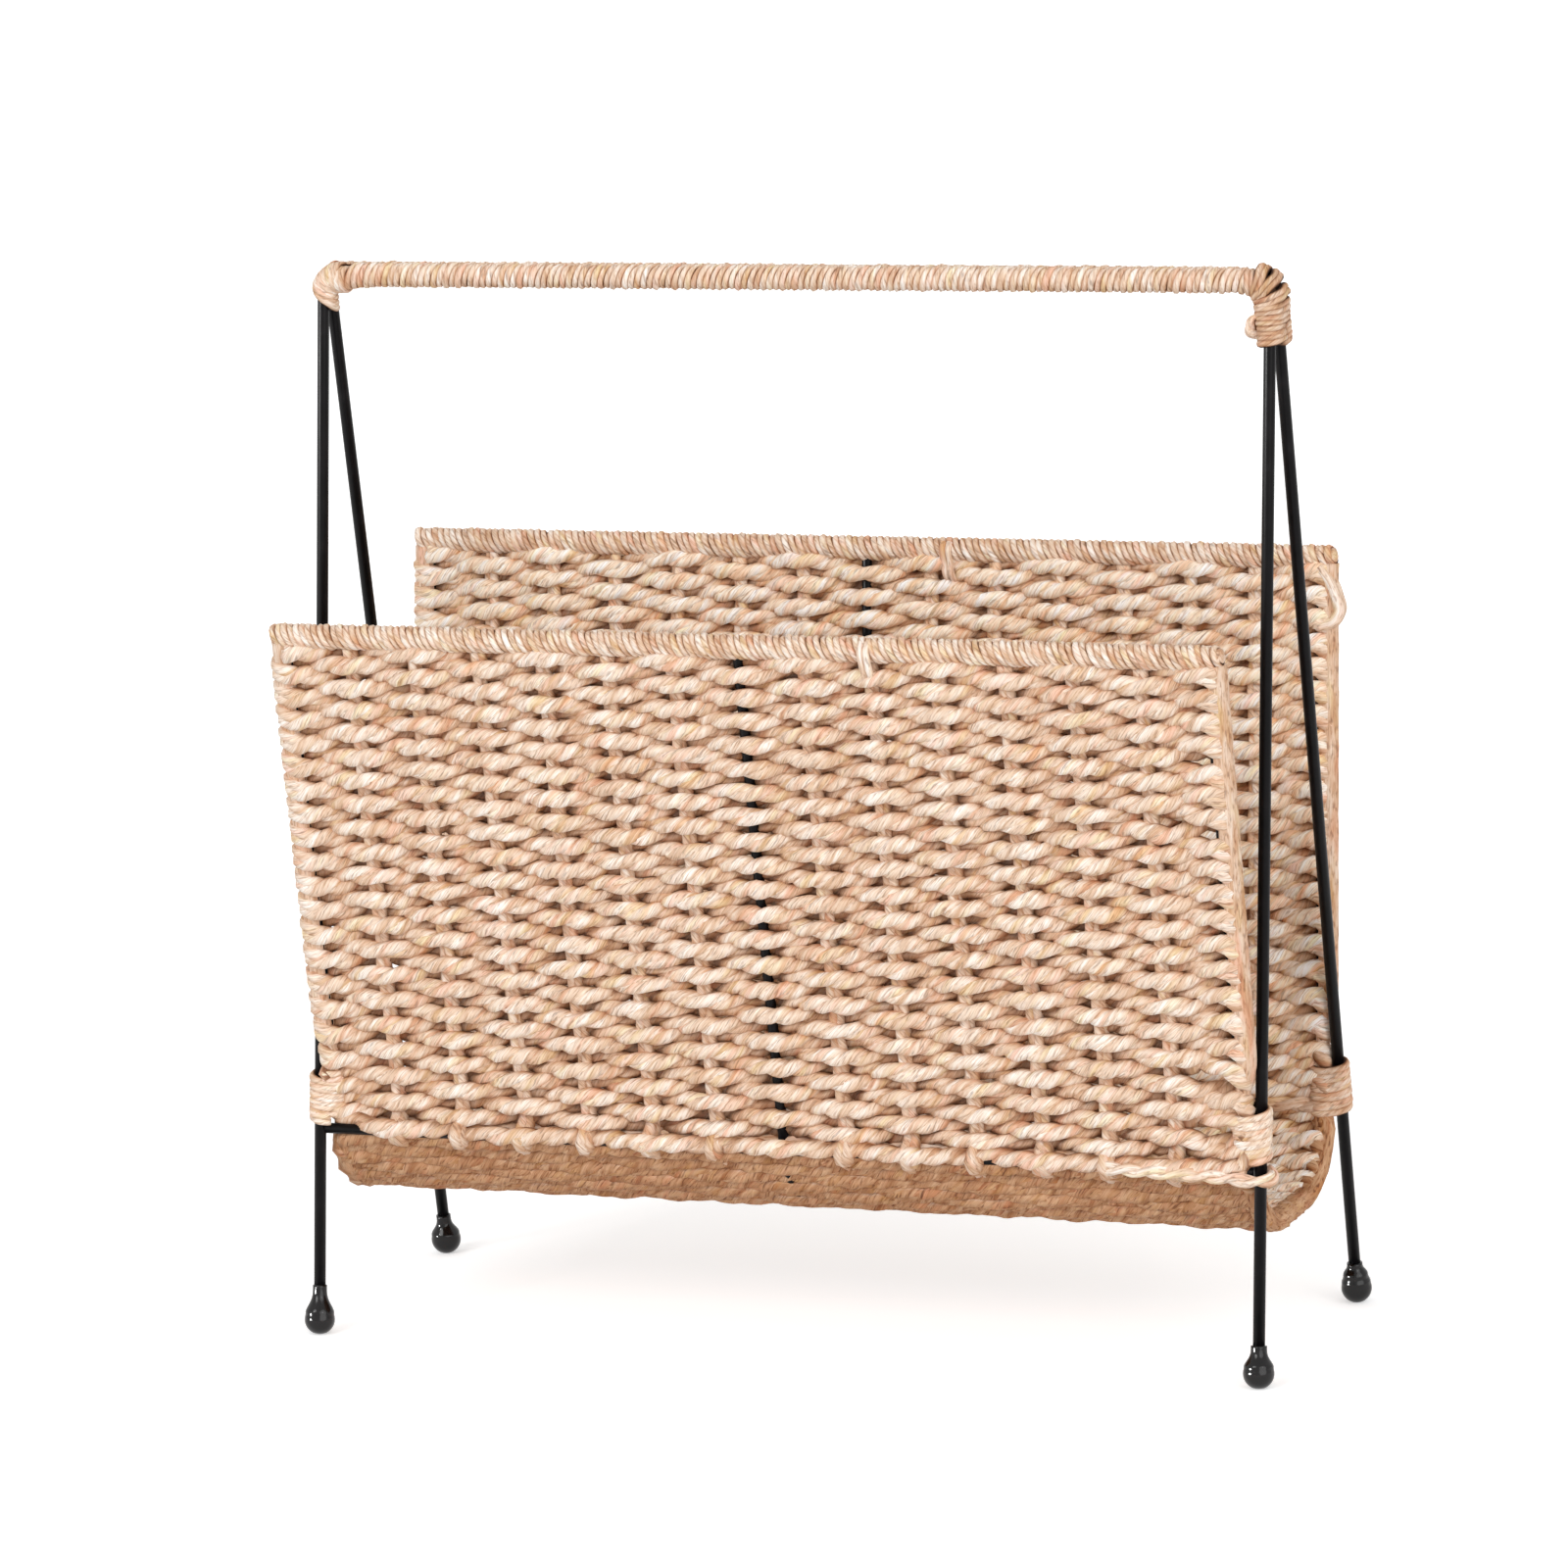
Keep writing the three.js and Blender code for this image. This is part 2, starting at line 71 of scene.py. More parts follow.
# Paper cord: two plies twisted together
PLY_RADIUS = 2.6 * MM
CORE_RADIUS = 1.1 * MM  # from the cord's axis to a ply's axis
LAY = 21 * MM  # length of one full twist
TWIST_WANDER = 0.5  # how unevenly a loose cord is twisted, as an angle
ROW_TWISTS = 17  # full twists in one crossing of the trough
PAPER_LAY = 15 * MM  # length of one full twist of a ply's creases
LEFT_LAID = -1  # the way that the plies turn: their ridges rise to the right on a level strand

# Stakes
STAKE_PLY_RADIUS = 2.15 * MM
STAKE_RISE = 7.4 * MM  # how far they go out over a sill rail
STAKE_TUCK = 1.8 * MM  # how far in they lie across the bottom

# Weaving
STATIONS = 179  # points along one crossing of the trough
WALL_SWING = 2.7 * MM  # how far the strands swing out and in round the uprights
BOTTOM_SWING = 0.8 * MM
BEND_SWING = 2.2 * MM  # the same in the bottom's bend at the back
LEFT_END_REACH = 4.3 * MM  # how far a wall's strand turns round the outside of an end hoop
RIGHT_END_REACH = 2.5 * MM
BOTTOM_END_REACH = 1.9 * MM
NEAR_END_SPREAD = 0.2  # how much further apart the plies lie near an end hoop
END_SPREAD = 0.5  # and the same again where the strand turns round it
END_SWELL = 0.15  # how much thicker they are there
RAIL_WRAP_RADIUS = 5.1 * MM
TOP_PITCH = 4.3 * MM  # from strand to strand under the rails
SILL_PITCH = 5.1 * MM  # the same, just over the sill rails
BOTTOM_PITCH = 4.8 * MM  # the same, across the bottom
OVER_SILL = 2.7 * MM  # from a sill rail up to the wall's last strand
NEXT_OVER_SILL = 3.7 * MM  # from that strand to the next one up
UNDER_SILL = 3.4 * MM  # from a sill rail down to the bottom's first strand
INSIDE_SILL = 1 * MM  # how far above a sill rail the straight strand inside it lies
WALL_RISE = 5.5 * MM  # how far the strands lie outside the hoops over a sill rail
BOTTOM_RISE = 3.3 * MM
WALL_WIDE = 1.05  # how much the cord is spread flat
BEND_WIDE = 1.15
BOTTOM_WIDE = 1.7
BOTTOM_PLY_RADIUS = 2.8 * MM
BOTTOM_CORE_RADIUS = 0.6 * MM

# How far the strands by a sill rail part at its left end and close in over it from there on, and
# between which x that changes
LEFT_PARTING = 1.3 * MM
FIRST_CLOSING = 1.0 * MM
FIRST_CLOSING_X = np.array((-177, -160)) * MM
FULL_CLOSING = 1.3 * MM
FULL_CLOSING_X = np.array((-150, -105)) * MM
CLOSED_X = np.array((-168, -105)) * MM  # here the strands over it also get flatter

# Heights by a lashing between which something grows, stays full, and fades again
LASHED = np.array((74, 79, 101, 106)) * MM  # the strands lie close to the hoop
SHORT_TURNS = np.array((60, 74, 104, 128)) * MM  # their turns round it are shorter
THIN_CORE = np.array((70, 79, 102, 120)) * MM  # what lies under the turns is thinner

# Slots between two strands of the front wall, near its right end: height, x, and how far each
# strand makes way
SLOTS = np.array(
    ((228, 172, 1.6), (206, 161, 2.2), (201, 174, 1.6), (113, 168, 2.8), (91, 168, 2.8))
) * MM

# Tubes under the turns at the trough's ends: the end, how far outside its hoop, and the radius.
# They go on past the first and the last row.
WALL_CORES = ((-1, 2.0 * MM, 4.2 * MM), (1, 2.7 * MM, 4.2 * MM))
BOTTOM_CORES = ((-1, 0.8 * MM, 3.9 * MM), (1, 1.5 * MM, 4.2 * MM))
CORES_PAST_ROWS = 3.4 * MM

# Windings
HANDLE_LOOPS = 71
RAIL_LOOPS = 74
BOUND_PLY_RADIUS = 1.45 * MM
BOUND_CORE_RADIUS = 1.2 * MM
WINDING_DEPTH = 1.4 * MM  # from a winding's proudest parts down to where its painted crevice shade is darkest
LOWER_LASHING = 4.5 * MM  # how much lower than its node the back right lashing sits
RAIL_TAILS = {"front": 50 * MM, "back": 33 * MM}  # x of the cord's end that is tucked in

rng = np.random.default_rng(7)


# Small helpers


def colour(code):
    """An sRGB hex colour as linear RGBA."""
    channels = [int(code[i : i + 2], 16) / 255 for i in (1, 3, 5)]
    linear = [c / 12.92 if c <= 0.04045 else ((c + 0.055) / 1.055) ** 2.4 for c in channels]
    return (*linear, 1)


def middle(node):
    low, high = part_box(node)
    return np.array((low + high) / 2)


def extent(node):
    low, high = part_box(node)
    return np.array(high - low)


def unit(vectors):
    return vectors / np.linalg.norm(vectors, axis=-1, keepdims=True)


def travel_along(points):
    steps = np.linalg.norm(np.diff(points, axis=0), axis=1)
    return np.concatenate(([0], np.cumsum(steps)))


def drift(travel, wave):
    """A smooth random wander between about -1 and 1, with the main wave that long."""
    waves = wave * np.array((1, 0.57, 0.31))
    phases = rng.uniform(0, 2 * PI, 3)
    return np.sin(2 * PI * np.asarray(travel)[..., None] / waves + phases) @ (0.5, 0.35, 0.25)


def ease(value, start, stop):
    """0 before start, 1 after stop and a smooth step between them."""
    share = np.clip((value - start) / (stop - start), 0, 1)
    return share * share * (3 - 2 * share)


def plateau(value, marks):
    """0 outside four marks, 1 between the inner two and smooth steps between."""
    return ease(value, *marks[:2]) * (1 - ease(value, *marks[2:]))


# Camera


def make_camera():
    right = Vector((math.cos(CAMERA_YAW), math.sin(CAMERA_YAW), 0))
    forward = Vector((-math.sin(CAMERA_YAW), math.cos(CAMERA_YAW), 0))
    up = Vector((0, 0, 1))
    look = forward * math.cos(CAMERA_PITCH) - up * math.sin(CAMERA_PITCH)
    over = up * math.cos(CAMERA_PITCH) + forward * math.sin(CAMERA_PITCH)
    across = right * math.cos(CAMERA_ROLL) + over * math.sin(CAMERA_ROLL)
    upright = over * math.cos(CAMERA_ROLL) - right * math.sin(CAMERA_ROLL)
    slide = across * CAMERA_SLIDE[0] + upright * CAMERA_SLIDE[1]
    camera = bpy.data.objects.new("camera", bpy.data.cameras.new("camera"))
    camera.data.sensor_width = SENSOR_WIDTH
    camera.data.lens = FOCAL_LENGTH_PX * SENSOR_WIDTH / PHOTO_SIZE_PX
    turn = Matrix((across, upright, -look)).transposed().to_4x4()
    place = CAMERA_TARGET - slide - look * CAMERA_DISTANCE
    camera.matrix_world = Matrix.Translation(place) @ turn
    bpy.context.scene.collection.objects.link(camera)
    bpy.context.scene.camera = camera


make_camera()


# Materials


def new_material(name):
    material = bpy.data.materials.new(name)
    material.use_nodes = True
    material.node_tree.nodes.clear()
    return material


def add(tree, kind, inputs=(), **settings):
    """Adds a node. An input is a value or another node's output, which is linked."""
    node = tree.nodes.new("ShaderNode" + kind)
    for key, value in settings.items():
        setattr(node, key, value)
    for key, value in dict(inputs).items():
        if isinstance(value, bpy.types.NodeSocket):
            tree.links.new(value, node.inputs[key])
        else:
            node.inputs[key].default_value = value
    return node


def covered(material, inputs):
    """The material with its one shader, which gets those inputs."""
    shader = add(material.node_tree, "BsdfPrincipled", inputs)
    add(material.node_tree, "OutputMaterial", {"Surface": shader.outputs["BSDF"]})
    return material


def coated(material, tint, roughness, height, strength, distance, ior, specular):
    """The material with a shader over a bump, which has that height, strength and distance."""
    bump_inputs = {"Height": height, "Strength": strength, "Distance": distance}
    bump = add(material.node_tree, "Bump", bump_inputs)
    inputs = {
        "Base Color": tint,
        "Roughness": roughness,
        "Normal": bump.outputs["Normal"],
        "IOR": ior,
        "Specular IOR Level": specular,
    }
    return covered(material, inputs)


def ramp(tree, value, stops):
    """A colour by value, from stops given as (place, hex colour)."""
    node = add(tree, "ValToRGB", {"Fac": value})
    elements = node.color_ramp.elements
    while len(elements) < len(stops):
        elements.new(1)
    for element, (place, code) in zip(elements, stops):
        element.position = place
        element.color = colour(code)
    return node.outputs["Color"]


def mixed(tree, share, first, second, way="MIX"):
    colours = {"Fac": share, "Color1": first, "Color2": second}
    return add(tree, "MixRGB", colours, blend_type=way).outputs["Color"]


def fibre_noise(tree, length, width, detail, shift=(0, 0, 0)):
    """Noise in spots of a length along the ply and a width across it."""
    fibre = add(tree, "Attribute", attribute_name="fibre").outputs["Vector"]
    scale = (1 / length, 1 / width, 1 / width)
    place = add(tree, "Mapping", {"Vector": fibre, "Location": shift, "Scale": scale})
    noise = {"Vector": place.outputs["Vector"], "Scale": 1.0, "Detail": detail}
    return add(tree, "TexNoise", noise).outputs["Fac"]


def powder_coat():
    """Satin black powder coat on steel rod: sprayed and baked, so it has a faint orange peel
    and broad, soft highlights."""
    material = new_material("satin_black_powder_coat")
    tree = material.node_tree
    place = add(tree, "TexCoord").outputs["Object"]
    peel = add(tree, "TexNoise", {"Vector": place, "Scale": 1 / (0.9 * MM), "Detail": 2.0})
    dust = add(tree, "TexNoise", {"Vector": place, "Scale": 1 / (9 * MM), "Detail": 5.0})
    tint = ramp(
        tree, dust.outputs["Fac"], ((0.35, "#070607"), (0.6, "#0e0c0e"), (0.75, "#181618"))
    )
    gloss = add(tree, "MapRange", {"Value": dust.outputs["Fac"], "To Min": 0.28, "To Max": 0.42})
    return coated(
        material, tint, gloss.outputs["Result"], peel.outputs["Fac"],
        strength=0.25, distance=0.05 * MM, ior=1.5, specular=0.12,
    )


def dipped_vinyl():
    """Black vinyl that the leg's end was dipped in: thick, wet-looking and a little uneven."""
    material = new_material("dipped_black_vinyl")
    tree = material.node_tree
    place = add(tree, "TexCoord").outputs["Object"]
    run = add(tree, "TexNoise", {"Vector": place, "Scale": 1 / (5 * MM), "Detail": 2.0})
    smear = add(tree, "MapRange", {"Value": run.outputs["Fac"], "To Min": 0.07, "To Max": 0.2})
    tint = ramp(tree, run.outputs["Fac"], ((0.3, "#080707"), (0.7, "#141112")))
    return coated(
        material, tint, smear.outputs["Result"], run.outputs["Fac"],
        strength=0.35, distance=0.5 * MM, ior=1.53, specular=0.3,
    )


def paper_cord(name, papers, shade_by_depth, lit_inside_papers, flecks):
    """Twisted kraft paper cord: matt, with the paper's creases running round each ply, patches of
    other paper and short dark flecks. Painted shade: the creases are darker in their low parts
    along with the paper's own streaks, and the depth colours darken the paper from its proudest
    parts down to the crevices. Painted light: the lighter inside papers go on the side that faces
    into the basket. Reads the attributes that each strand's mesh carries: fibre (along the ply,
    then round it), lift and inner, which is 1 on the side that faces into the basket."""
    material = new_material(name)
    tree = material.node_tree
    # Creases about 0.5 mm wide; real ones are finer.
    crease = fibre_noise(tree, length=6 * MM, width=0.55 * MM, detail=3.0)
    patch = fibre_noise(tree, length=16 * MM, width=3.5 * MM, detail=2.0)
    paper = ramp(tree, patch, papers)
    # Painted light: the side that faces into the basket gets lighter paper
    inner = add(tree, "Attribute", attribute_name="inner").outputs["Fac"]
    paper = mixed(tree, inner, paper, ramp(tree, patch, lit_inside_papers))
    # Painted shade in the creases: dark where their bump is low, together with the paper's own streaks
    crease_shade_and_streaks = ramp(tree, crease, ((0.3, "#b99070"), (0.46, "#efe2d6"), (0.6, "#ffffff")))
    paper = mixed(tree, 0.55, paper, crease_shade_and_streaks, "MULTIPLY")
    fleck = fibre_noise(tree, 3.2 * MM, 1.0 * MM, 2.0, (3.1, 6.2, 9.4))
    spots = ramp(tree, fleck, ((0.3, "#7d5638"), (0.41, "#e8d3c0"), (0.47, "#ffffff")))
    paper = mixed(tree, flecks, paper, spots, "MULTIPLY")

    # A blush of pink and one of yellow green, each in its own places
    for tint, shift in (("#fde0d4", (7.3, 2.1, 4.4)), ("#f8f0cf", (1.9, 8.2, 5.6))):
        blush = fibre_noise(tree, 23 * MM, 5 * MM, 1.0, shift)
        sizes = {"Value": blush, "From Min": 0.55, "From Max": 0.75, "To Max": 0.9}
        share = add(tree, "MapRange", sizes).outputs["Result"]
        paper = mixed(tree, share, paper, colour(tint), "MULTIPLY")

    # Painted shade by depth: the paper is darkened from its proudest parts down to the crevices
    lift = add(tree, "Attribute", attribute_name="lift").outputs["Fac"]
    paper = mixed(tree, 1.0, paper, ramp(tree, lift, shade_by_depth), "MULTIPLY")
    return coated(
        material, paper, 0.72, crease, strength=0.6, distance=0.35 * MM, ior=1.45, specular=0.3
    )


black_coat = powder_coat()
black_dip = dipped_vinyl()
PAINTED_LIGHT_INSIDE_STRAW = ((0.3, "#f4cfae"), (0.48, "#fff1de"), (0.66, "#ffffff"))  # painted light: lighter paper for the faces that look into the basket
straw_cord = paper_cord(
    "straw_paper_cord",
    papers=((0.3, "#dfbd9f"), (0.48, "#f2decb"), (0.66, "#fff9f2")),
    shade_by_depth=((0.05, "#452e1f"), (0.24, "#b19178"), (0.45, "#e9d7c8"), (0.78, "#ffffff")),
    lit_inside_papers=PAINTED_LIGHT_INSIDE_STRAW,
    flecks=0.5,
)
# Painted shade: a darker brown copy of the straw cord for the bottom's outer side, which lies in shade
# under the basket; its inside faces get the lighter inside papers
shaded_cord = paper_cord(
    "painted_shade_paper_cord",
    papers=((0.3, "#a5744e"), (0.48, "#c0936d"), (0.68, "#d2ab88")),
    shade_by_depth=((0.05, "#80583a"), (0.35, "#dfc6ab"), (0.6, "#ffffff")),
    lit_inside_papers=PAINTED_LIGHT_INSIDE_STRAW,
    flecks=0.75,
)


# Pieces


def make_piece(name, mesh, material, slot, *nodes):
    """Puts a mesh in the scene as a piece that rides on the basket and stands for CAD nodes."""
    mesh.materials.clear()
    mesh.materials.append(material)
    mesh.shade_smooth()
    piece = bpy.data.objects.new(name, mesh)
    bpy.context.scene.collection.objects.link(piece)
    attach(piece, "root")
    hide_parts(*nodes)


def tube_mesh(name, lines, sides):
    """Round tubes along lines of points, each with its own radii, their ends closed.
    The vertices come line by line, and station by station along each line."""
    curve = bpy.data.curves.new(name, "CURVE")
    curve.dimensions = "3D"
    curve.bevel_depth = 1
    curve.bevel_resolution = sides // 2 - 2
    for points, radii in lines:
        spline = curve.splines.new("POLY")
        spline.points.add(len(points) - 1)
        spline.points.foreach_set("co", np.c_[points, np.ones(len(points))].ravel())
        spline.points.foreach_set("radius", radii)
    shape = bpy.data.objects.new(name, curve)
    mesh = bpy.data.meshes.new_from_object(shape)
    bpy.data.objects.remove(shape)
    bpy.data.curves.remove(curve)
    bm = bmesh.new()
    bm.from_mesh(mesh)
    bmesh.ops.holes_fill(bm, edges=[edge for edge in bm.edges if edge.is_boundary], sides=0)
    bm.to_mesh(mesh)
    bm.free()
    return mesh


def rod_piece(word, node, points, diameter, sides=20):
    """A rod, named by a word and its CAD node."""
    name = word + "_" + node
    mesh = tube_mesh(name, [(points, np.full(len(points), diameter / 2))], sides)
    make_piece(name, mesh, black_coat, "black_paint", node)


# Cords. A run is the cord's route with, at every station, the point of the mid-surface or rod
# that it goes round (ground), the way from there to the cord (away) and the way across (aside).
# Its lift, from which the paper's material paints shade, is one value for the whole run, or None where it
# is measured.

Run = namedtuple("Run", "route ground away aside lift", defaults=[None])


def twist(run, ply_radius, core, lay=LAY, wide=1.0, turn=None):
    """The two plies of a cord along a run, each as (axis points, radii, run). Wide is how much the
    cord is spread flat, everywhere or at each station. Turn, where it is given, is the angle of
    the twist at each station."""
    travel = travel_along(run.route)
    heading = unit(np.gradient(run.route, axis=0))
    aside = unit(run.aside - heading * np.sum(run.aside * heading, axis=1, keepdims=True))
    proud = np.cross(heading, aside)
    if turn is None:
        uneven = TWIST_WANDER * drift(travel, wave=90 * MM)
        turn = 2 * PI * travel / lay + uneven + rng.uniform(0, 2 * PI)
    turn = LEFT_LAID * turn
    wide = np.broadcast_to(wide, len(travel))[:, None]
    plies = []
    for half_turn in (0, PI):
        angle = (turn + half_turn)[:, None]
        offset = core * (wide * np.cos(angle) * aside + np.sin(angle) * proud / wide)
        radii = ply_radius * (1 + 0.07 * drift(travel, wave=31 * MM) + 0.05 * drift(travel, wave=10 * MM))
        plies.append((run.route + offset, radii, run))
    return plies


def lining(routes, radius, lift=0.3):
    """Plain tubes that stand for turns hidden under others, given as a cord's plies are. Their fixed lift
    paints them in the shade that lies under those turns.
    """
    plies = []
    for route in routes:
        flat = np.tile((0.0, 0, 1), (len(route), 1))
        radii = np.broadcast_to(radius, len(route))
        plies.append((route, radii, Run(route, route, flat, flat, lift)))
    return plies


def cord_piece(
    word, node, plies, material=straw_cord, slot="straw_cord", sides=6, depth=6 * MM, painted_shade=0.0
):
    """A piece of cord, named by a word and its CAD node, with the attributes that the paper's
    material reads: fibre, inner, and lift from 0, that depth below the cord's proudest parts, to 1
    at them, less the painted shade given for the whole piece. The material paints a low lift as
    shade."""
    name = word + "_" + node
    mesh = tube_mesh(name, [(points, radii) for points, radii, _ in plies], sides)
    places = np.empty(len(mesh.vertices) * 3, np.float32)
    mesh.vertices.foreach_get("co", places)
    places = places.reshape(-1, 3)
    fibres = []
    lifts = []
    inners = []
    first = 0
    for points, radii, run in plies:
        last = first + len(points) * sides
        along = np.repeat(travel_along(points) + rng.uniform(0, 50), sides)
        angle = np.tile(2 * PI * np.arange(sides) / sides, len(points))
        if run.lift is None:
            angle = angle + 2 * PI * along / PAPER_LAY
        across = np.repeat(radii, sides)
        fibres.append(np.stack((along, across * np.cos(angle), across * np.sin(angle)), axis=1))
        from_ground = places[first:last] - np.repeat(run.ground, sides, axis=0)
        outward = np.sum(from_ground * np.repeat(run.away, sides, axis=0), axis=1)
        rise = np.abs(outward)
        # Painted shade: the further below the proudest parts, the lower the lift and the darker the paper
        lift = 1 - painted_shade - (np.percentile(rise, 97) - rise) / depth
        lifts.append(lift if run.lift is None else np.full_like(rise, run.lift))
        inners.append((1 - ease(outward, -1 * MM, 1 * MM)) * (run.lift is None))
        first = last
    mesh.attributes.new("fibre", "FLOAT_VECTOR", "POINT").data.foreach_set(
        "vector", np.concatenate(fibres).astype(np.float32).ravel()
    )
    for word, values in (("lift", lifts), ("inner", inners)):
        mesh.attributes.new(word, "FLOAT", "POINT").data.foreach_set(
            "value", np.concatenate(values).astype(np.float32)
        )
    make_piece(name, mesh, material, slot, node)


# Frame rods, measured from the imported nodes

handle_height = middle("handle_wrap")[2]
frame_rod = 2 * (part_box("leg_frame_front")[1].z - handle_height)
leg_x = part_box("leg_frame_front")[1].x - frame_rod / 2
handle_offset = (frame_rod + FIT) / 2
foot_spread = middle("foot_back_left")[1] - middle("foot_front_left")[1]
foot_height = FOOT_BALL / 2 - FOOT_FLAT
hoop_x = middle("hoop_right")[0]
hoop_rod = extent("hoop_right")[0]
sill_rod = extent("sill_rail_front")[2]
SIDES = {"front": -1, "back": 1}
ENDS = {"left": -1, "right": 1}


def leg_y(height):
    """How far out a leg's centre is at a height."""
    share = (handle_height - height) / (handle_height - foot_height)
    return handle_offset + (foot_spread / 2 - handle_offset) * share


def bent(corners, radius, steps=10):
    """A route through corners, each but the first and the last rounded to that radius."""
    route = [corners[0]]
    for before, corner, after in zip(corners, corners[1:], corners[2:]):
        into, out = unit(corner - before), unit(after - corner)
        turn = math.acos(np.clip(into @ out, -1, 1))
        start = corner - into * radius * math.tan(turn / 2)
        normal = unit(out - into * (into @ out))
        for i in range(steps + 1):
            angle = turn * i / steps
            route.append(start + radius * (math.sin(angle) * into + (1 - math.cos(angle)) * normal))
    route.append(corners[-1])
    return np.array(route)


def frame_route(side):
    seat = foot_height + 1 * MM
    low = (side * leg_y(seat), seat)
    high = (side * handle_offset, handle_height)
    corners = ((-leg_x, low), (-leg_x, high), (leg_x, high), (leg_x, low))
    return bent([np.array((x, *place)) for x, place in corners], HANDLE_BEND)


for word, side in SIDES.items():
    rod_piece("bent", "leg_frame_" + word, frame_route(side), frame_rod)
    for rail in ("top_rail_" + word, "sill_rail_" + word):
        half = np.array((extent(rail)[0] / 2, 0, 0))
        ends = np.array((middle(rail) - half, middle(rail) + half))
        rod_piece("round", rail, ends, extent(rail)[2])


# Trough profile: the middle of the weaving, measured from the front rail down the front wall,
# across the bottom and up the back wall to its rail


class Trough:
    def __init__(self):
        walls = []
        for word in SIDES:
            rail = np.abs(middle("top_rail_" + word)[1:])
            sill = np.abs(middle("sill_rail_" + word)[1:])
            step = (hoop_rod + sill_rod) / 2 + FIT
            reach = rail - sill
            lean = math.atan2(*reach) + math.asin(step / np.linalg.norm(reach))
            foot = sill - step * np.array((math.cos(lean), -math.sin(lean)))
            walls.append((rail, foot, lean))
        (front_rail, front_foot, front_lean), (back_rail, back_foot, back_lean) = walls
        hubs = [foot[0] - TROUGH_BEND * math.cos(lean) for _, foot, lean in walls]
        lengths = [
            0,
            np.linalg.norm(front_rail - front_foot),
            TROUGH_BEND * (PI / 2 - front_lean),
            sum(hubs),
            TROUGH_BEND * (PI / 2 - back_lean),
            np.linalg.norm(back_rail - back_foot),
        ]
        self.marks = np.cumsum(lengths)
        facings = [PI + front_lean] * 2 + [1.5 * PI] * 2 + [2 * PI - back_lean] * 2
        self.down = np.linspace(0, self.marks[-1], 4001)
        self.facing = np.interp(self.down, self.marks, facings)
        step = self.down[1]
        self.y = -front_rail[0] + np.cumsum(-np.sin(self.facing)) * step
        self.z = front_rail[1] + np.cumsum(np.cos(self.facing)) * step

    def at(self, down):
        """The mid-surface's (y, z), the way out of it and the way down along it, as arrays."""
        facing = np.interp(down, self.down, self.facing)
        y = np.interp(down, self.down, self.y)
        z = np.interp(down, self.down, self.z)
        nothing = np.zeros_like(y)
        out = np.stack((nothing, np.cos(facing), np.sin(facing)), axis=-1)
        onward = np.stack((nothing, -np.sin(facing), np.cos(facing)), axis=-1)
        return y, z, out, onward

    def wall_y(self, side, height):
        """How far out the mid-surface is at a height on one wall, with its sign."""
        half = self.down < self.marks[2] if side < 0 else self.down > self.marks[3]
        order = np.argsort(self.z[half])
        return np.interp(height, self.z[half][order], self.y[half][order])

    def down_front(self, height):
        """How far down the front wall a height is."""
        wall = self.down < self.marks[1]
        return np.interp(-height, -self.z[wall], self.down[wall])


trough = Trough()
front_foot, back_foot = trough.marks[1], trough.marks[4]

for hoop in ("hoop_left", "hoop_centre", "hoop_right"):
    low = hoop_rod / 2 if hoop == "hoop_centre" else 0
    y, z = trough.at(np.linspace(low, trough.marks[-1] - low, 180))[:2]
    route = np.stack((np.full_like(y, middle(hoop)[0]), y, z), axis=1)
    rod_piece("round", hoop, route, hoop_rod, sides=12)


# Feet: the dip's drop-shaped skin, turned round the leg's axis and flat where it stands


def dip_shape(neck_top, neck_radius, lobe):
    """A ball whose upper part is drawn out into a neck. A lobe is a drop that set on the neck."""
    ball = FOOT_BALL / 2
    shoulder = 0.3 * ball  # from here up the neck's own outline counts too
    lobe_height = 0.62 * neck_top
    lobe_width = 1.6 * MM
    bm = bmesh.new()
    profile = []
    for height in np.linspace(-ball, neck_top, 29):
        radius = math.sqrt(max(ball**2 - height**2, 0)) if height < ball else 0
        if height >= shoulder:
            fade = ease(height, 0.35 * ball, neck_top)
            drop = neck_radius + (ball * 0.98 - neck_radius) * (1 - fade) ** 2.2
            radius = max(radius, min(drop, ball * 0.95))
        radius += lobe * math.exp(-(((height - lobe_height) / lobe_width) ** 2))
        profile.append(bm.verts.new((radius, 0, height)))
    profile.append(bm.verts.new((0, 0, neck_top + 0.2 * MM)))
    edges = [bm.edges.new(pair) for pair in zip(profile, profile[1:])]
    bmesh.ops.spin(
        bm, geom=profile + edges, cent=(0, 0, 0), axis=(0, 0, 1), angle=2 * PI, steps=32, use_merge=True
    )
    bmesh.ops.remove_doubles(bm, verts=bm.verts, dist=0.01 * MM)
    return bm


def foot_piece(side_word, end_word, neck_radius, neck_top=FOOT_NECK_TOP, lobe=0.0):
    bm = dip_shape(neck_top, neck_radius, lobe)
    side, end = SIDES[side_word], ENDS[end_word]
    up = Vector((0, side * (leg_y(handle_height) - leg_y(foot_height)), handle_height - foot_height))
    turn = up.to_track_quat("Z", "Y").to_matrix().to_4x4()
    centre = Vector((end * leg_x, side * leg_y(foot_height), foot_height))
    bmesh.ops.transform(bm, matrix=Matrix.Translation(centre) @ turn, verts=bm.verts)
    everything = bm.verts[:] + bm.edges[:] + bm.faces[:]
    cut = bmesh.ops.bisect_plane(bm, geom=everything, plane_no=(0, 0, -1), clear_outer=True)
    rim = [edge for edge in cut["geom_cut"] if isinstance(edge, bmesh.types.BMEdge)]
    bmesh.ops.edgeloop_fill(bm, edges=rim)
    bmesh.ops.recalc_face_normals(bm, faces=bm.faces)
    node = "foot_" + side_word + "_" + end_word
    mesh = bpy.data.meshes.new("dipped_" + node)
    bm.to_mesh(mesh)
    bm.free()
    make_piece("dipped_" + node, mesh, black_dip, "black_dip", node)


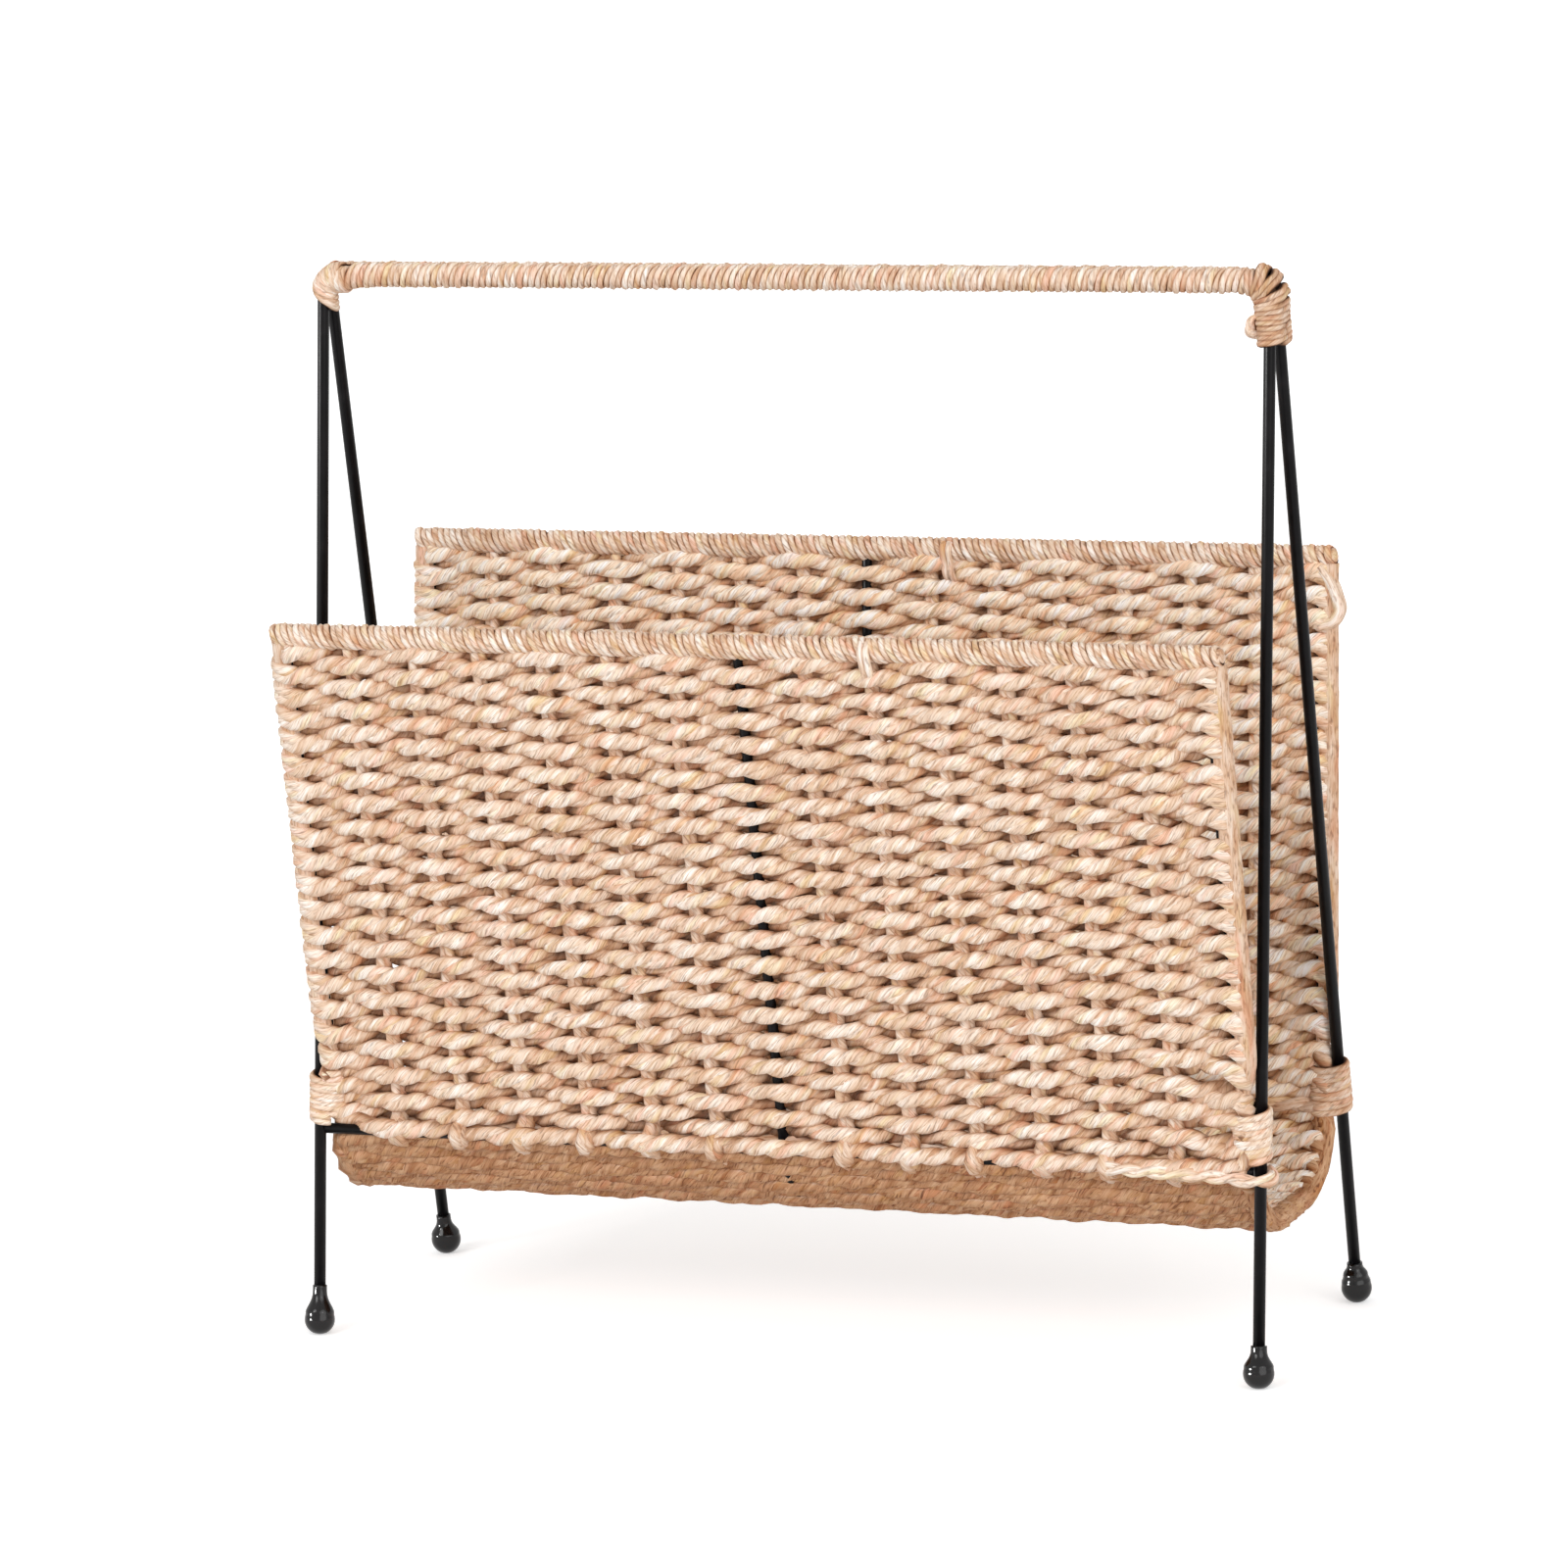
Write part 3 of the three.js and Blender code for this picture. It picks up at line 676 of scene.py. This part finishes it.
foot_piece("front", "left", neck_top=13 * MM, neck_radius=2.7 * MM)
foot_piece("front", "right", neck_radius=3.0 * MM)
foot_piece("back", "left", neck_radius=2.8 * MM)
foot_piece("back", "right", neck_radius=2.9 * MM, lobe=1.1 * MM)


# Stakes: the upright cords that the strands go round

stake_names = ["stake_%02d" % (i + 1) for i in range(12)]
upright_pitch = middle(stake_names[1])[0] - middle(stake_names[0])[0]


def over_sill_rails(down, height, width):
    """A rise that carries a strand out over the sill rails, which lie outside the hoops."""
    nearest = np.minimum(np.abs(down - front_foot), np.abs(down - back_foot))
    return height * np.exp(-((nearest / width) ** 2))


for name in stake_names:
    down = np.arange(4 * MM, trough.marks[-1] - 4 * MM, 2 * MM)
    y, z, out, _ = trough.at(down)
    x = middle(name)[0] + 0.4 * MM * drift(down, wave=60 * MM)
    route = np.stack((x, y, z), axis=1)
    route += out * over_sill_rails(down, STAKE_RISE, width=3.6 * MM)[:, None]
    past_rails = np.minimum(down - front_foot, back_foot - down)
    route -= out * STAKE_TUCK * ease(past_rails, 5 * MM, 12 * MM)[:, None]
    aside = np.tile((1.0, 0, 0), (len(route), 1))
    run = Run(route, route, out, aside)
    swell = 1 + over_sill_rails(down, height=0.3, width=6 * MM)
    turn = 0.25 + 0.6 * drift(down, wave=45 * MM)
    plies = twist(run, STAKE_PLY_RADIUS * swell, CORE_RADIUS, turn=turn)
    # Painted shade: the uprights are dimmed as a whole, as they lie in the shade between the strands
    cord_piece("upright", name, plies, painted_shade=0.35)


# Weaving: long cords, to and fro over the uprights and round the end hoops. Each wall has one
# and the bottom two.


def rows_between(start, stop, first_pitch, last_pitch):
    """Places of the strands from start to stop, with the pitch changing evenly between them."""
    count = round((stop - start) * 2 / (first_pitch + last_pitch))
    pitches = np.linspace(first_pitch, last_pitch, count)
    places = np.concatenate(([0], np.cumsum(pitches)))
    return start + places * (stop - start) / places[-1]


def woven_plies(
    rows, before, most_swing, reaches, rise, wide, ply_radius=PLY_RADIUS, core=CORE_RADIUS, slots=()
):
    """The plies of one cord that crosses the trough at each row, out and in by turns, where so
    many rows lie before the first. The reaches are those of its turns at the left and the right,
    and the rise is how far it lies outside the hoops over a sill rail."""
    across, down, swing, turns, twists = [], [], [], [], []
    twisted = 0
    for i, row in enumerate(rows):
        way = 1 if (i + before) % 2 == 0 else -1
        x = way * np.linspace(-hoop_x, hoop_x, STATIONS)
        calm = 1 - (np.abs(x) / hoop_x) ** 12
        across.append(x)
        down.append(row + 0.4 * MM * calm * drift(x, wave=83 * MM))
        size = 1 + 0.1 * calm * drift(x, wave=70 * MM)
        swing.append(way * size * np.cos(PI * (x - hoop_x) / upright_pitch))
        turns.append(np.zeros_like(x))
        row_twist = 2 * PI * (ROW_TWISTS + rng.integers(-1, 2) / 2)
        uneven = 1.5 * calm * drift(x, wave=110 * MM)
        twists.append(twisted + row_twist * (1 + way * x / hoop_x) / 2 + uneven)
        twisted += row_twist
        if i + 1 < len(rows):
            angle = np.linspace(0, PI, 8)[1:-1]
            across.append(np.full_like(angle, way * hoop_x))
            down.append(row + (rows[i + 1] - row) * angle / PI)
            swing.append(way * np.cos(angle))
            turns.append(way * np.sin(angle))
            twists.append(np.full_like(angle, twisted))
    x, down = np.concatenate(across), np.concatenate(down)
    for height, place, way_made in slots:
        after = np.searchsorted(rows, trough.down_front(height))
        beyond = down - (rows[after - 1] + rows[after]) / 2
        near = 1 - ease(np.abs(x - place), 3 * MM, 12 * MM)
        near = near * (1 - ease(np.abs(beyond), 4 * MM, 9 * MM))
        down = down + way_made * np.sign(beyond) * near
    # The strands by a sill rail close in over it, but part a little at the left.
    parted = LEFT_PARTING - (LEFT_PARTING + FIRST_CLOSING) * ease(x, *FIRST_CLOSING_X)
    parted -= (FULL_CLOSING - FIRST_CLOSING) * ease(x, *FULL_CLOSING_X)
    if front_foot < rows[0] < back_foot:
        parted = parted / 2
    for foot in (front_foot, back_foot):
        beyond = down - foot
        down = down + parted * np.sign(beyond) * (1 - ease(np.abs(beyond), 3.8 * MM, 5 * MM))
    swing, turns = np.concatenate(swing), np.concatenate(turns)
    y, z, out, onward = trough.at(down)
    ground = np.stack((x, y, z), axis=1)
    aside = np.array((1.0, 0, 0))
    # By the lashings the strands lie close to the hoop, and the legs pass just outside them.
    lashed = plateau(z, LASHED) * ease(np.abs(x), hoop_x - 17 * MM, hoop_x - 5 * MM)
    reach = np.where(x < 0, *reaches) * (1 - 0.4 * plateau(z, SHORT_TURNS))
    # Over the sill rails the strands lie outside the rail.
    over_rail = over_sill_rails(down, height=1, width=4 * MM)
    closed = ease(x, *CLOSED_X) * over_rail
    depth = swing * most_swing * (1 - 0.6 * lashed) * (1 - 0.5 * closed)
    depth = depth + rise * over_rail + 0.8 * MM * closed
    round_hoop = out * depth[:, None]
    round_end = aside * (turns * reach)[:, None]
    route = ground + round_hoop + round_end
    ground = ground + out * (rise * over_rail)[:, None] + round_end * 0.7
    away = np.where((turns != 0)[:, None], unit(out * swing[:, None] + aside * turns[:, None]), out)
    run = Run(route, ground, away, onward)
    near_end = ease(np.abs(x), hoop_x - 40 * MM, hoop_x)
    wide = wide + NEAR_END_SPREAD * near_end + END_SPREAD * turns**2
    ply_radius = ply_radius * (1 + END_SWELL * np.maximum(0.5 * near_end, turns**2))
    return twist(run, ply_radius, core, wide=wide, turn=np.concatenate(twists))


# The walls' cords end over the sill rails, where the bottom's own cords begin and end.
under_wrap = RAIL_WRAP_RADIUS + 0.4 * MM
near_sill = OVER_SILL + NEXT_OVER_SILL
front_rows = rows_between(under_wrap, front_foot - near_sill, TOP_PITCH, SILL_PITCH)
front_rows = np.append(front_rows, front_foot - OVER_SILL)
back_rows = rows_between(back_foot + near_sill, trough.marks[-1] - under_wrap, SILL_PITCH, TOP_PITCH)
back_rows = np.insert(back_rows, 0, back_foot + OVER_SILL)
bottom_rows = rows_between(front_foot + UNDER_SILL, back_foot - UNDER_SILL, BOTTOM_PITCH, BOTTOM_PITCH)
belly_rows, bend_rows = np.split(bottom_rows, [np.searchsorted(bottom_rows, trough.marks[3])])


def end_cores(rows, cores, lift):
    """Tubes along the end hoops, for the turns of the strands that are packed close there, painted in
    shade by the lift given.
    """
    plies = []
    for end, outside, radius in cores:
        down = np.arange(rows[0] - CORES_PAST_ROWS, rows[-1] + CORES_PAST_ROWS, 2.5 * MM)
        y, z = trough.at(down)[:2]
        thin = plateau(z, THIN_CORE)
        x = end * (hoop_x + outside - 2.4 * MM * thin)
        radii = radius * (1 + 0.04 * drift(down, wave=17 * MM)) * (1 - 0.35 * thin)
        plies += lining([np.stack((x, y, z), axis=1)], radii, lift)
    return plies


def strand_inside_sill(foot):
    """A strand that lies straight along the inside of a sill, where the woven ones go outside the
    rail."""
    x = np.linspace(-hoop_x, hoop_x, STATIONS)
    y, z, out, onward = trough.at(np.full_like(x, foot))
    route = np.stack((x, y, z), axis=1) - out * 0.6 * MM
    # Painted half shade, by a fixed lift
    run = Run(route, route, out, onward, lift=0.5)
    return twist(run, ply_radius=2.3 * MM, core=CORE_RADIUS)


reaches = (LEFT_END_REACH, RIGHT_END_REACH)
for name, rows, before, slots, sill in (
    ("weave_front", front_rows, 0, SLOTS, front_foot - INSIDE_SILL),
    ("weave_back", back_rows, 1, (), back_foot + INSIDE_SILL),
):
    plies = woven_plies(rows, before, WALL_SWING, reaches, WALL_RISE, WALL_WIDE, slots=slots)
    plies += end_cores(rows, WALL_CORES, lift=0.5)
    plies += strand_inside_sill(sill)
    cord_piece("strands_of", name, plies)

# The bottom is flat but for its bend at the back, whose inside is seen over the front wall's end.
reaches = (BOTTOM_END_REACH, BOTTOM_END_REACH)
before = len(front_rows)
plies = woven_plies(
    belly_rows, before, BOTTOM_SWING, reaches, BOTTOM_RISE, BOTTOM_WIDE,
    BOTTOM_PLY_RADIUS, BOTTOM_CORE_RADIUS,
)
before += len(belly_rows)
plies += woven_plies(bend_rows, before, BEND_SWING, reaches, BOTTOM_RISE, BEND_WIDE)
plies += end_cores(bottom_rows, BOTTOM_CORES, lift=0.7)
cord_piece("strands_of", "weave_bottom", plies, shaded_cord, "shaded_cord", depth=4.5 * MM)


# Windings: cord wound round one rod, or round two rods side by side


def oval(share, half_gap, reach):
    """At a share of the way round two rods, how far across the rod's centre is and the angle of
    the way out of it."""
    arc, flat = PI * reach / 2, 2 * half_gap
    marks = np.cumsum((0, arc, flat, 2 * arc, flat, arc))
    along = (share % 1) * marks[-1]
    angle = np.interp(along, marks, (0, PI / 2, PI / 2, 1.5 * PI, 1.5 * PI, 2 * PI))
    centre = np.interp(along, marks, np.array((1, 1, -1, -1, 1, 1)) * half_gap)
    return centre, angle


def winding(spine, travel, share, reach, lean=0.0):
    """A run round the rods of a spine, which gives each rod's centre and the heading at a travel.
    The share of a turn counts from the back, by the top or the outer side, to the front. The cord
    lies further on by the lean at a quarter turn than at three quarters."""
    travel = travel + lean / 2 * np.sin(2 * PI * share)
    rod_a, rod_b, heading = spine(travel)
    line = (rod_a + rod_b) / 2
    gap = rod_b - rod_a
    wide_apart = np.linalg.norm(gap, axis=1) / 2
    across = np.where((wide_apart > 0)[:, None], gap, (0.0, 1.0, 0.0))
    across = unit(across - heading * np.sum(across * heading, axis=1, keepdims=True))
    up = np.cross(heading, across)
    reach = np.broadcast_to(reach, len(travel))
    centre, angle = oval(share, wide_apart.mean(), reach.mean())
    centre = centre * wide_apart / max(wide_apart.mean(), 1e-9)
    away = across * np.cos(angle)[:, None] + up * np.sin(angle)[:, None]
    line = line + across * centre[:, None]
    ground = line + away * (reach - reach.min())[:, None]
    return Run(line + away * reach[:, None], ground, away, heading)


def even_turns(half, loops, steps, still=0.0, wander=0.15 * MM):
    """The travel from -half to half, and the turns done. So many turns stay still at each end."""
    done = np.linspace(0, loops, loops * steps)
    travel = half * (2 * np.clip((done - still) / (loops - 2 * still), 0, 1) - 1)
    return travel + wander * drift(done, wave=11), done


def straight_spine(y, z, half_gap=0.0):
    def spine(travel):
        level = np.full_like(travel, z)
        ahead = np.tile((1.0, 0, 0), (len(travel), 1))
        rod_a = np.stack((travel, np.full_like(travel, y - half_gap), level), axis=1)
        rod_b = np.stack((travel, np.full_like(travel, y + half_gap), level), axis=1)
        return rod_a, rod_b, ahead

    return spine


def flat_cord(run, ply_radius, core):
    """The cord pulled flat where it binds, with its plies side by side."""
    plies = []
    for way in (-1, 1):
        radii = ply_radius * (1 + 0.08 * drift(travel_along(run.route), wave=27 * MM))
        plies.append((run.route + way * core * unit(run.aside), radii, run))
    return plies


def bound_cord(run):
    """The same, with the plies now and then rolling a little over each other."""
    travel = travel_along(run.route)
    turn = 0.25 * drift(travel, wave=37 * MM) + 0.12 * drift(travel, wave=260 * MM)
    return twist(run, BOUND_PLY_RADIUS, BOUND_CORE_RADIUS, turn=turn)


def smooth_route(points, count):
    """A smooth curve through given points."""
    points = np.array(points)
    marks = travel_along(points)
    slopes = np.gradient(points, marks, axis=0)
    fine = np.linspace(0, marks[-1], count)
    spot = np.clip(np.searchsorted(marks, fine, side="right") - 1, 0, len(points) - 2)
    length = (marks[spot + 1] - marks[spot])[:, None]
    t = (fine - marks[spot])[:, None] / length
    start, stop = points[spot], points[spot + 1]
    out, into = slopes[spot] * length, slopes[spot + 1] * length
    bend = (2 * t**3 - 3 * t**2 + 1) * start + (t**3 - 2 * t**2 + t) * out
    return bend + (3 * t**2 - 2 * t**3) * stop + (t**3 - t**2) * into


def loose_run(points, aside, count=40):
    """A run along a given route."""
    route = smooth_route(points, count)
    flat = np.tile(aside, (count, 1))
    # A fixed lift paints the run evenly with a little shade
    return Run(route, route, flat, flat, lift=0.75)


def tail_over_rail(x, side, rail):
    """The end of a length of cord, laid over a rail's winding and tucked in under it, on the side
    that faces the front."""
    y, z = rail[1:]
    high, low = [trough.wall_y(side, z - drop * MM) for drop in (8, 12)]
    steps = ((-0.2, -2.5, 3), (0.1, -5.2, 0.5), (0.5, -5, -3.5), (1, -4.6, -8), (1.5, -0.5, -12))
    route = np.array(steps) * MM + [(x, place, z) for place in (y, y, y, high, low)]
    return flat_cord(loose_run(route, (1.0, 0, 0)), ply_radius=1.3 * MM, core=1.1 * MM)


def tail_at_wall_end(rail):
    """The winding's last end, bent down outside the back wall's right end and tucked in."""
    steps = (
        (0, -2.5, -3), (3.6, -2.6, -8), (6.2, -2.8, -14), (7.4, -3.2, -19), (5.4, -4.5, -23),
        (0, -5.5, -25),
    )
    route = np.array(steps) * MM + (hoop_x, *rail[1:])
    return flat_cord(loose_run(route, (0, 1.0, 0)), ply_radius=2.2 * MM, core=1.4 * MM)


wrap_half = leg_x - HANDLE_BEND - 1.2 * MM
travel, done = even_turns(wrap_half, HANDLE_LOOPS, steps=22)
# At the left the turns pile up under the handle, where it bends down.
share = 0.25 - done
piled = (1 - ease(travel, -wrap_half, -wrap_half + 12 * MM)) * np.clip(-np.sin(2 * PI * share), 0, 1)
handle_run = winding(
    straight_spine(0, handle_height, handle_offset),
    travel,
    share,
    reach=frame_rod / 2 + (1.0 + 1.2 * piled) * MM,
    lean=1.8 * MM,
)
handle_plies = bound_cord(handle_run)
handle_cores = [
    np.array([(x, side * handle_offset, handle_height) for x in (-wrap_half, wrap_half)])
    for side in SIDES.values()
]
# A tube under the turns, painted in shade by the lining's lift
handle_plies += lining(handle_cores, radius=frame_rod / 2 + 0.9 * MM)
cord_piece("wound", "handle_wrap", handle_plies, depth=WINDING_DEPTH)

for word, side in SIDES.items():
    rail = middle("top_rail_" + word)
    half = hoop_x + 2.6 * MM
    travel, done = even_turns(half, RAIL_LOOPS, steps=16, still=1.2, wander=0.4 * MM)
    # The last turns stay on the spot, draw in and close over the rail's end.
    from_end = np.minimum(done, RAIL_LOOPS - done)
    least_reach = 0.5 * MM
    full_reach = RAIL_WRAP_RADIUS - 1.7 * MM
    run = winding(
        straight_spine(rail[1], rail[2]),
        travel,
        0.25 + done,
        reach=least_reach + (full_reach - least_reach) * ease(from_end, -0.2, 1.2),
        lean=-2.2 * MM,
    )
    plies = bound_cord(run)
    # A tube under them, with domed tips that show inside the last turns, painted in half shade by its
    # lift
    tips = half + np.array((3.4, 3.1, 2.4, 1.0, -1.5)) * MM
    tip_radii = np.array((0.5, 2.2, 3.5, 3.9, 3.2)) * MM
    core_x = np.concatenate((-tips, tips[::-1]))
    rail_core = np.array([(x, *rail[1:]) for x in core_x])
    plies += lining([rail_core], np.concatenate((tip_radii, tip_radii[::-1])), lift=0.5)
    plies += tail_over_rail(RAIL_TAILS[word], side, rail)
    if side > 0:
        plies += tail_at_wall_end(rail)
    cord_piece("wound", "rail_wrap_" + word, plies, depth=WINDING_DEPTH)


def corner_spine(end):
    """Both leg frames' rods at one end, measured from where the handle begins to bend."""
    rods = []
    for side in SIDES.values():
        route = frame_route(side)
        if end < 0:
            route = route[::-1]
        travel = travel_along(route)
        corner = np.argmax(route[:, 0] * end > leg_x - HANDLE_BEND - 0.01 * MM)
        rods.append((route, travel - travel[corner]))

    def spine(travel):
        a, b = [
            np.stack([np.interp(travel, marks, route[:, axis]) for axis in range(3)], axis=1)
            for route, marks in rods
        ]
        ahead = unit(np.gradient((a + b) / 2, axis=0))
        return a, b, ahead

    return spine


def bands_round(spine, end, bands, piles, reach, steps=24):
    """A run that shows the given bands in front, each as its travel at the outer side and at the
    inner side, and goes on behind from each band's inner side to the next one's outer side.
    A pile is where the cord lies on turns below it: place, half width, height, and 1 for the
    outer side or -1 for the inner one."""
    marks = np.arange(2 * len(bands)) / 2
    done = np.linspace(0, marks[-1], int(marks[-1] * steps))
    half_turn = np.floor(done * 2) / 2
    eased = half_turn + ease((done - half_turn) * 2, 0.0, 1.0) / 2
    travel = np.interp((done + eased) / 2, marks, np.array(bands).ravel())
    travel = travel + 0.2 * MM * drift(done, wave=2.75)
    share = 0.5 - 0.25 * end + end * done
    reach = np.full_like(travel, reach)
    for place, half_width, height, side in piles:
        facing = np.clip(side * end * np.sin(2 * PI * share), 0, 1)
        reach += height * facing * np.exp(-(((travel - place) / half_width) ** 2))
    # The cord's own start is tucked in under its first turn.
    reach = reach - 1.8 * MM * (1 - ease(done, 0, 0.3))
    return winding(spine, travel, share, reach)


def corner_wrap(end_word, bands, piles, lined, shade, painted_shade):
    """The bands round a corner, over turns below them that go on for the lined length. Painted
    shade: the turns below take shade as their lift, dark where they show in the slots between the
    bands, and the whole wrap is dimmed by painted_shade."""
    end = ENDS[end_word]
    bands = np.array(bands) * MM
    piles = np.array(piles) * (MM, MM, MM, 1)
    spine = corner_spine(end)
    run = bands_round(spine, end, bands, piles, reach=frame_rod / 2 + 1.2 * MM)
    plies = flat_cord(run, ply_radius=1.5 * MM, core=0.95 * MM)
    rod_a, rod_b, _ = spine(np.linspace(-1 * MM, lined, 30))
    plies += lining((rod_a, rod_b), radius=frame_rod / 2 + 1.1 * MM, lift=shade)
    cord_piece("bound", "corner_wrap_" + end_word, plies, sides=8, depth=2 * MM, painted_shade=painted_shade)


corner_wrap(
    "left",
    bands=((-1, 1), (1, 4.5), (3, 8), (4.5, 12), (6, 16.5)),
    piles=((6, 4, 0.5, 1), (-0.5, 6, 2.4, -1)),
    lined=6.5 * MM,
    shade=0.4,
    painted_shade=0.2,
)
corner_wrap(
    "right",
    bands=(
        (0, 2.5), (3.1, 5.7), (6.3, 9), (9.8, 12.6), (13.7, 15.6), (17.9, 18.3), (22.2, 21.3),
        (26.3, 24.2),
    ),
    piles=((5.5, 6, 2.4, 1), (10, 9, 1.9, -1)),
    lined=24 * MM,
    shade=0.1,
    painted_shade=0.5,
)


def lashing_spine(side, end):
    def spine(height):
        hoop = np.stack(
            (np.full_like(height, end * hoop_x), trough.wall_y(side, height), height), axis=1
        )
        leg = np.stack((np.full_like(height, end * leg_x), side * leg_y(height), height), axis=1)
        return hoop, leg, np.tile((0.0, 0, 1), (len(height), 1))

    return spine


def strand_along_sill():
    """The lashing's own cord comes along the front sill rail, over the last uprights, and takes
    one turn round the leg."""
    y, z = middle("sill_rail_front")[1:]
    leg = -leg_y(z)
    out = sill_rod / 2 + 1.6 * MM
    steps = (
        (-56, 1, -1), (-50, 0, 0), (-34, -1.4, -0.3), (-18, -1.2, -0.8), (-6, 0, -1.4),
        (-2, -3.9, -2.2), (3.4, -2.4, -2), (4.2, 1.5, -1), (1, 4.2, 0),
    )
    by_sill = [(hoop_x, place, z) for place in (y, y - out, y - out, y - out, y - 1.2 * out)]
    route = np.array(steps) * MM + (by_sill + 4 * [(leg_x, leg, z)])
    run = loose_run(route, (0, 0, 1.0), count=80)
    return twist(run, ply_radius=1.5 * MM, core=0.95 * MM, wide=1.3)


for side_word, side in SIDES.items():
    for end_word, end in ENDS.items():
        name = "lashing_" + side_word + "_" + end_word
        low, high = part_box(name)
        travel, done = even_turns((high.z - low.z) / 2 - 2 * MM, loops=5, steps=24, wander=0.5 * MM)
        if name == "lashing_back_right":
            travel = travel - LOWER_LASHING
        run = winding(
            lashing_spine(side, end),
            (low.z + high.z) / 2 + travel,
            0.25 + end * done,
            reach=frame_rod / 2 + 0.6 * MM,
            lean=end * 2.5 * MM,
        )
        plies = flat_cord(run, ply_radius=1.5 * MM, core=1.1 * MM)
        if name == "lashing_front_right":
            plies += strand_along_sill()
        # Painted shade: each lashing is dimmed as a whole, the back right one most
        painted_shade = 0.4 if name == "lashing_back_right" else 0.2
        cord_piece("bound", name, plies, sides=8, depth=2.6 * MM, painted_shade=painted_shade)


def knot_piece():
    """The end of the corner's cord: it comes out of the wrap, loops over and ends in a ball."""
    centre = middle("handle_knot")
    route = np.array(
        (
            (4.2, 0.5, 5.0), (3.0, -0.6, 5.6), (1.8, -1.4, 5.2), (1.0, -1.6, 4.0), (0.8, -1.2, 2.6),
            (0.6, -0.6, 1.2), (0.8, -0.2, 0.0), (1.7, 0.0, -0.7), (3.0, 0.2, -0.9), (4.4, 0.4, -1.2),
        )
    ) * MM
    run = loose_run(centre + route, (0, 1.0, 0), count=46)
    plies = twist(run, ply_radius=1.0 * MM, core=0.6 * MM, lay=14 * MM)
    fat = 1 + 0.9 * np.exp(-(((np.linspace(0, 1, 46) - 0.68) / 0.16) ** 2))
    plies = [(points, radii * fat, run) for points, radii, run in plies]
    # The tucked end, painted in deep shade by its low lift
    tucked = centre + np.array(((3.0, 1.2, 4), (2.6, 1.4, 2), (3.0, 1.2, 0))) * MM
    plies += lining([smooth_route(tucked, count=12)], radius=1.4 * MM, lift=0.2)
    cord_piece("tied", "handle_knot", plies, sides=8)


knot_piece()


# Studio: a white floor and background for the eye, soft light from the upper front


def seen_directly(tree):
    """1 for rays from the camera, or seen in gloss or through glass, and 0 for light's own."""
    path = add(tree, "LightPath")
    either = path.outputs["Is Camera Ray"]
    for word in ("Is Glossy Ray", "Is Transmission Ray"):
        either = add(tree, "Math", {0: either, 1: path.outputs[word]}, operation="MAXIMUM").outputs[0]
    return either


def make_world():
    world = bpy.data.worlds.new("studio")
    world.use_nodes = True
    tree = world.node_tree
    tree.nodes.clear()
    glow = add(tree, "MapRange", {"Value": seen_directly(tree), "To Min": 0.58, "To Max": 1.0})
    sky = add(tree, "Background", {"Color": colour("#ffffff"), "Strength": glow.outputs["Result"]})
    add(tree, "OutputWorld", {"Surface": sky.outputs["Background"]})
    bpy.context.scene.world = world


def make_floor():
    mesh = bpy.data.meshes.new("floor")
    bm = bmesh.new()
    bmesh.ops.create_grid(bm, x_segments=1, y_segments=1, size=30)
    bm.to_mesh(mesh)
    bm.free()
    material = new_material("white_studio_floor")
    tree = material.node_tree
    lift = add(tree, "MapRange", {"Value": seen_directly(tree), "To Min": 0.0, "To Max": 0.45})
    inputs = {
        "Base Color": colour("#f4f4f4"),
        "Roughness": 0.9,
        "Emission Color": colour("#ffffff"),
        "Emission Strength": lift.outputs["Result"],
    }
    mesh.materials.append(covered(material, inputs))
    floor = bpy.data.objects.new("floor", mesh)
    bpy.context.scene.collection.objects.link(floor)


def make_lamp(name, towards, strength, softness, glint_only=False):
    """A far softbox that lies in the given direction from the basket."""
    data = bpy.data.lights.new(name, "SUN")
    data.energy = strength
    data.angle = softness
    lamp = bpy.data.objects.new(name, data)
    lamp.rotation_mode = "QUATERNION"
    lamp.rotation_quaternion = Vector(towards).to_track_quat("Z", "Y")
    lamp.visible_diffuse = not glint_only
    bpy.context.scene.collection.objects.link(lamp)


make_world()
make_floor()
make_lamp("key_light", (-0.3, -0.75, 0.58), strength=0.8, softness=0.45)
make_lamp("fill_light", (0.74, -0.58, 0.34), strength=1.2, softness=0.9)
make_lamp("low_left_glint", (-0.75, -0.66, 0.03), strength=5.0, softness=0.25, glint_only=True)
make_lamp("left_glint", (-0.5, -0.8, 0.5), strength=0.15, softness=0.07)
make_lamp("right_glint", (0.75, -0.6, 0.45), strength=0.08, softness=0.07)

bpy.context.scene.view_settings.view_transform = "Standard"
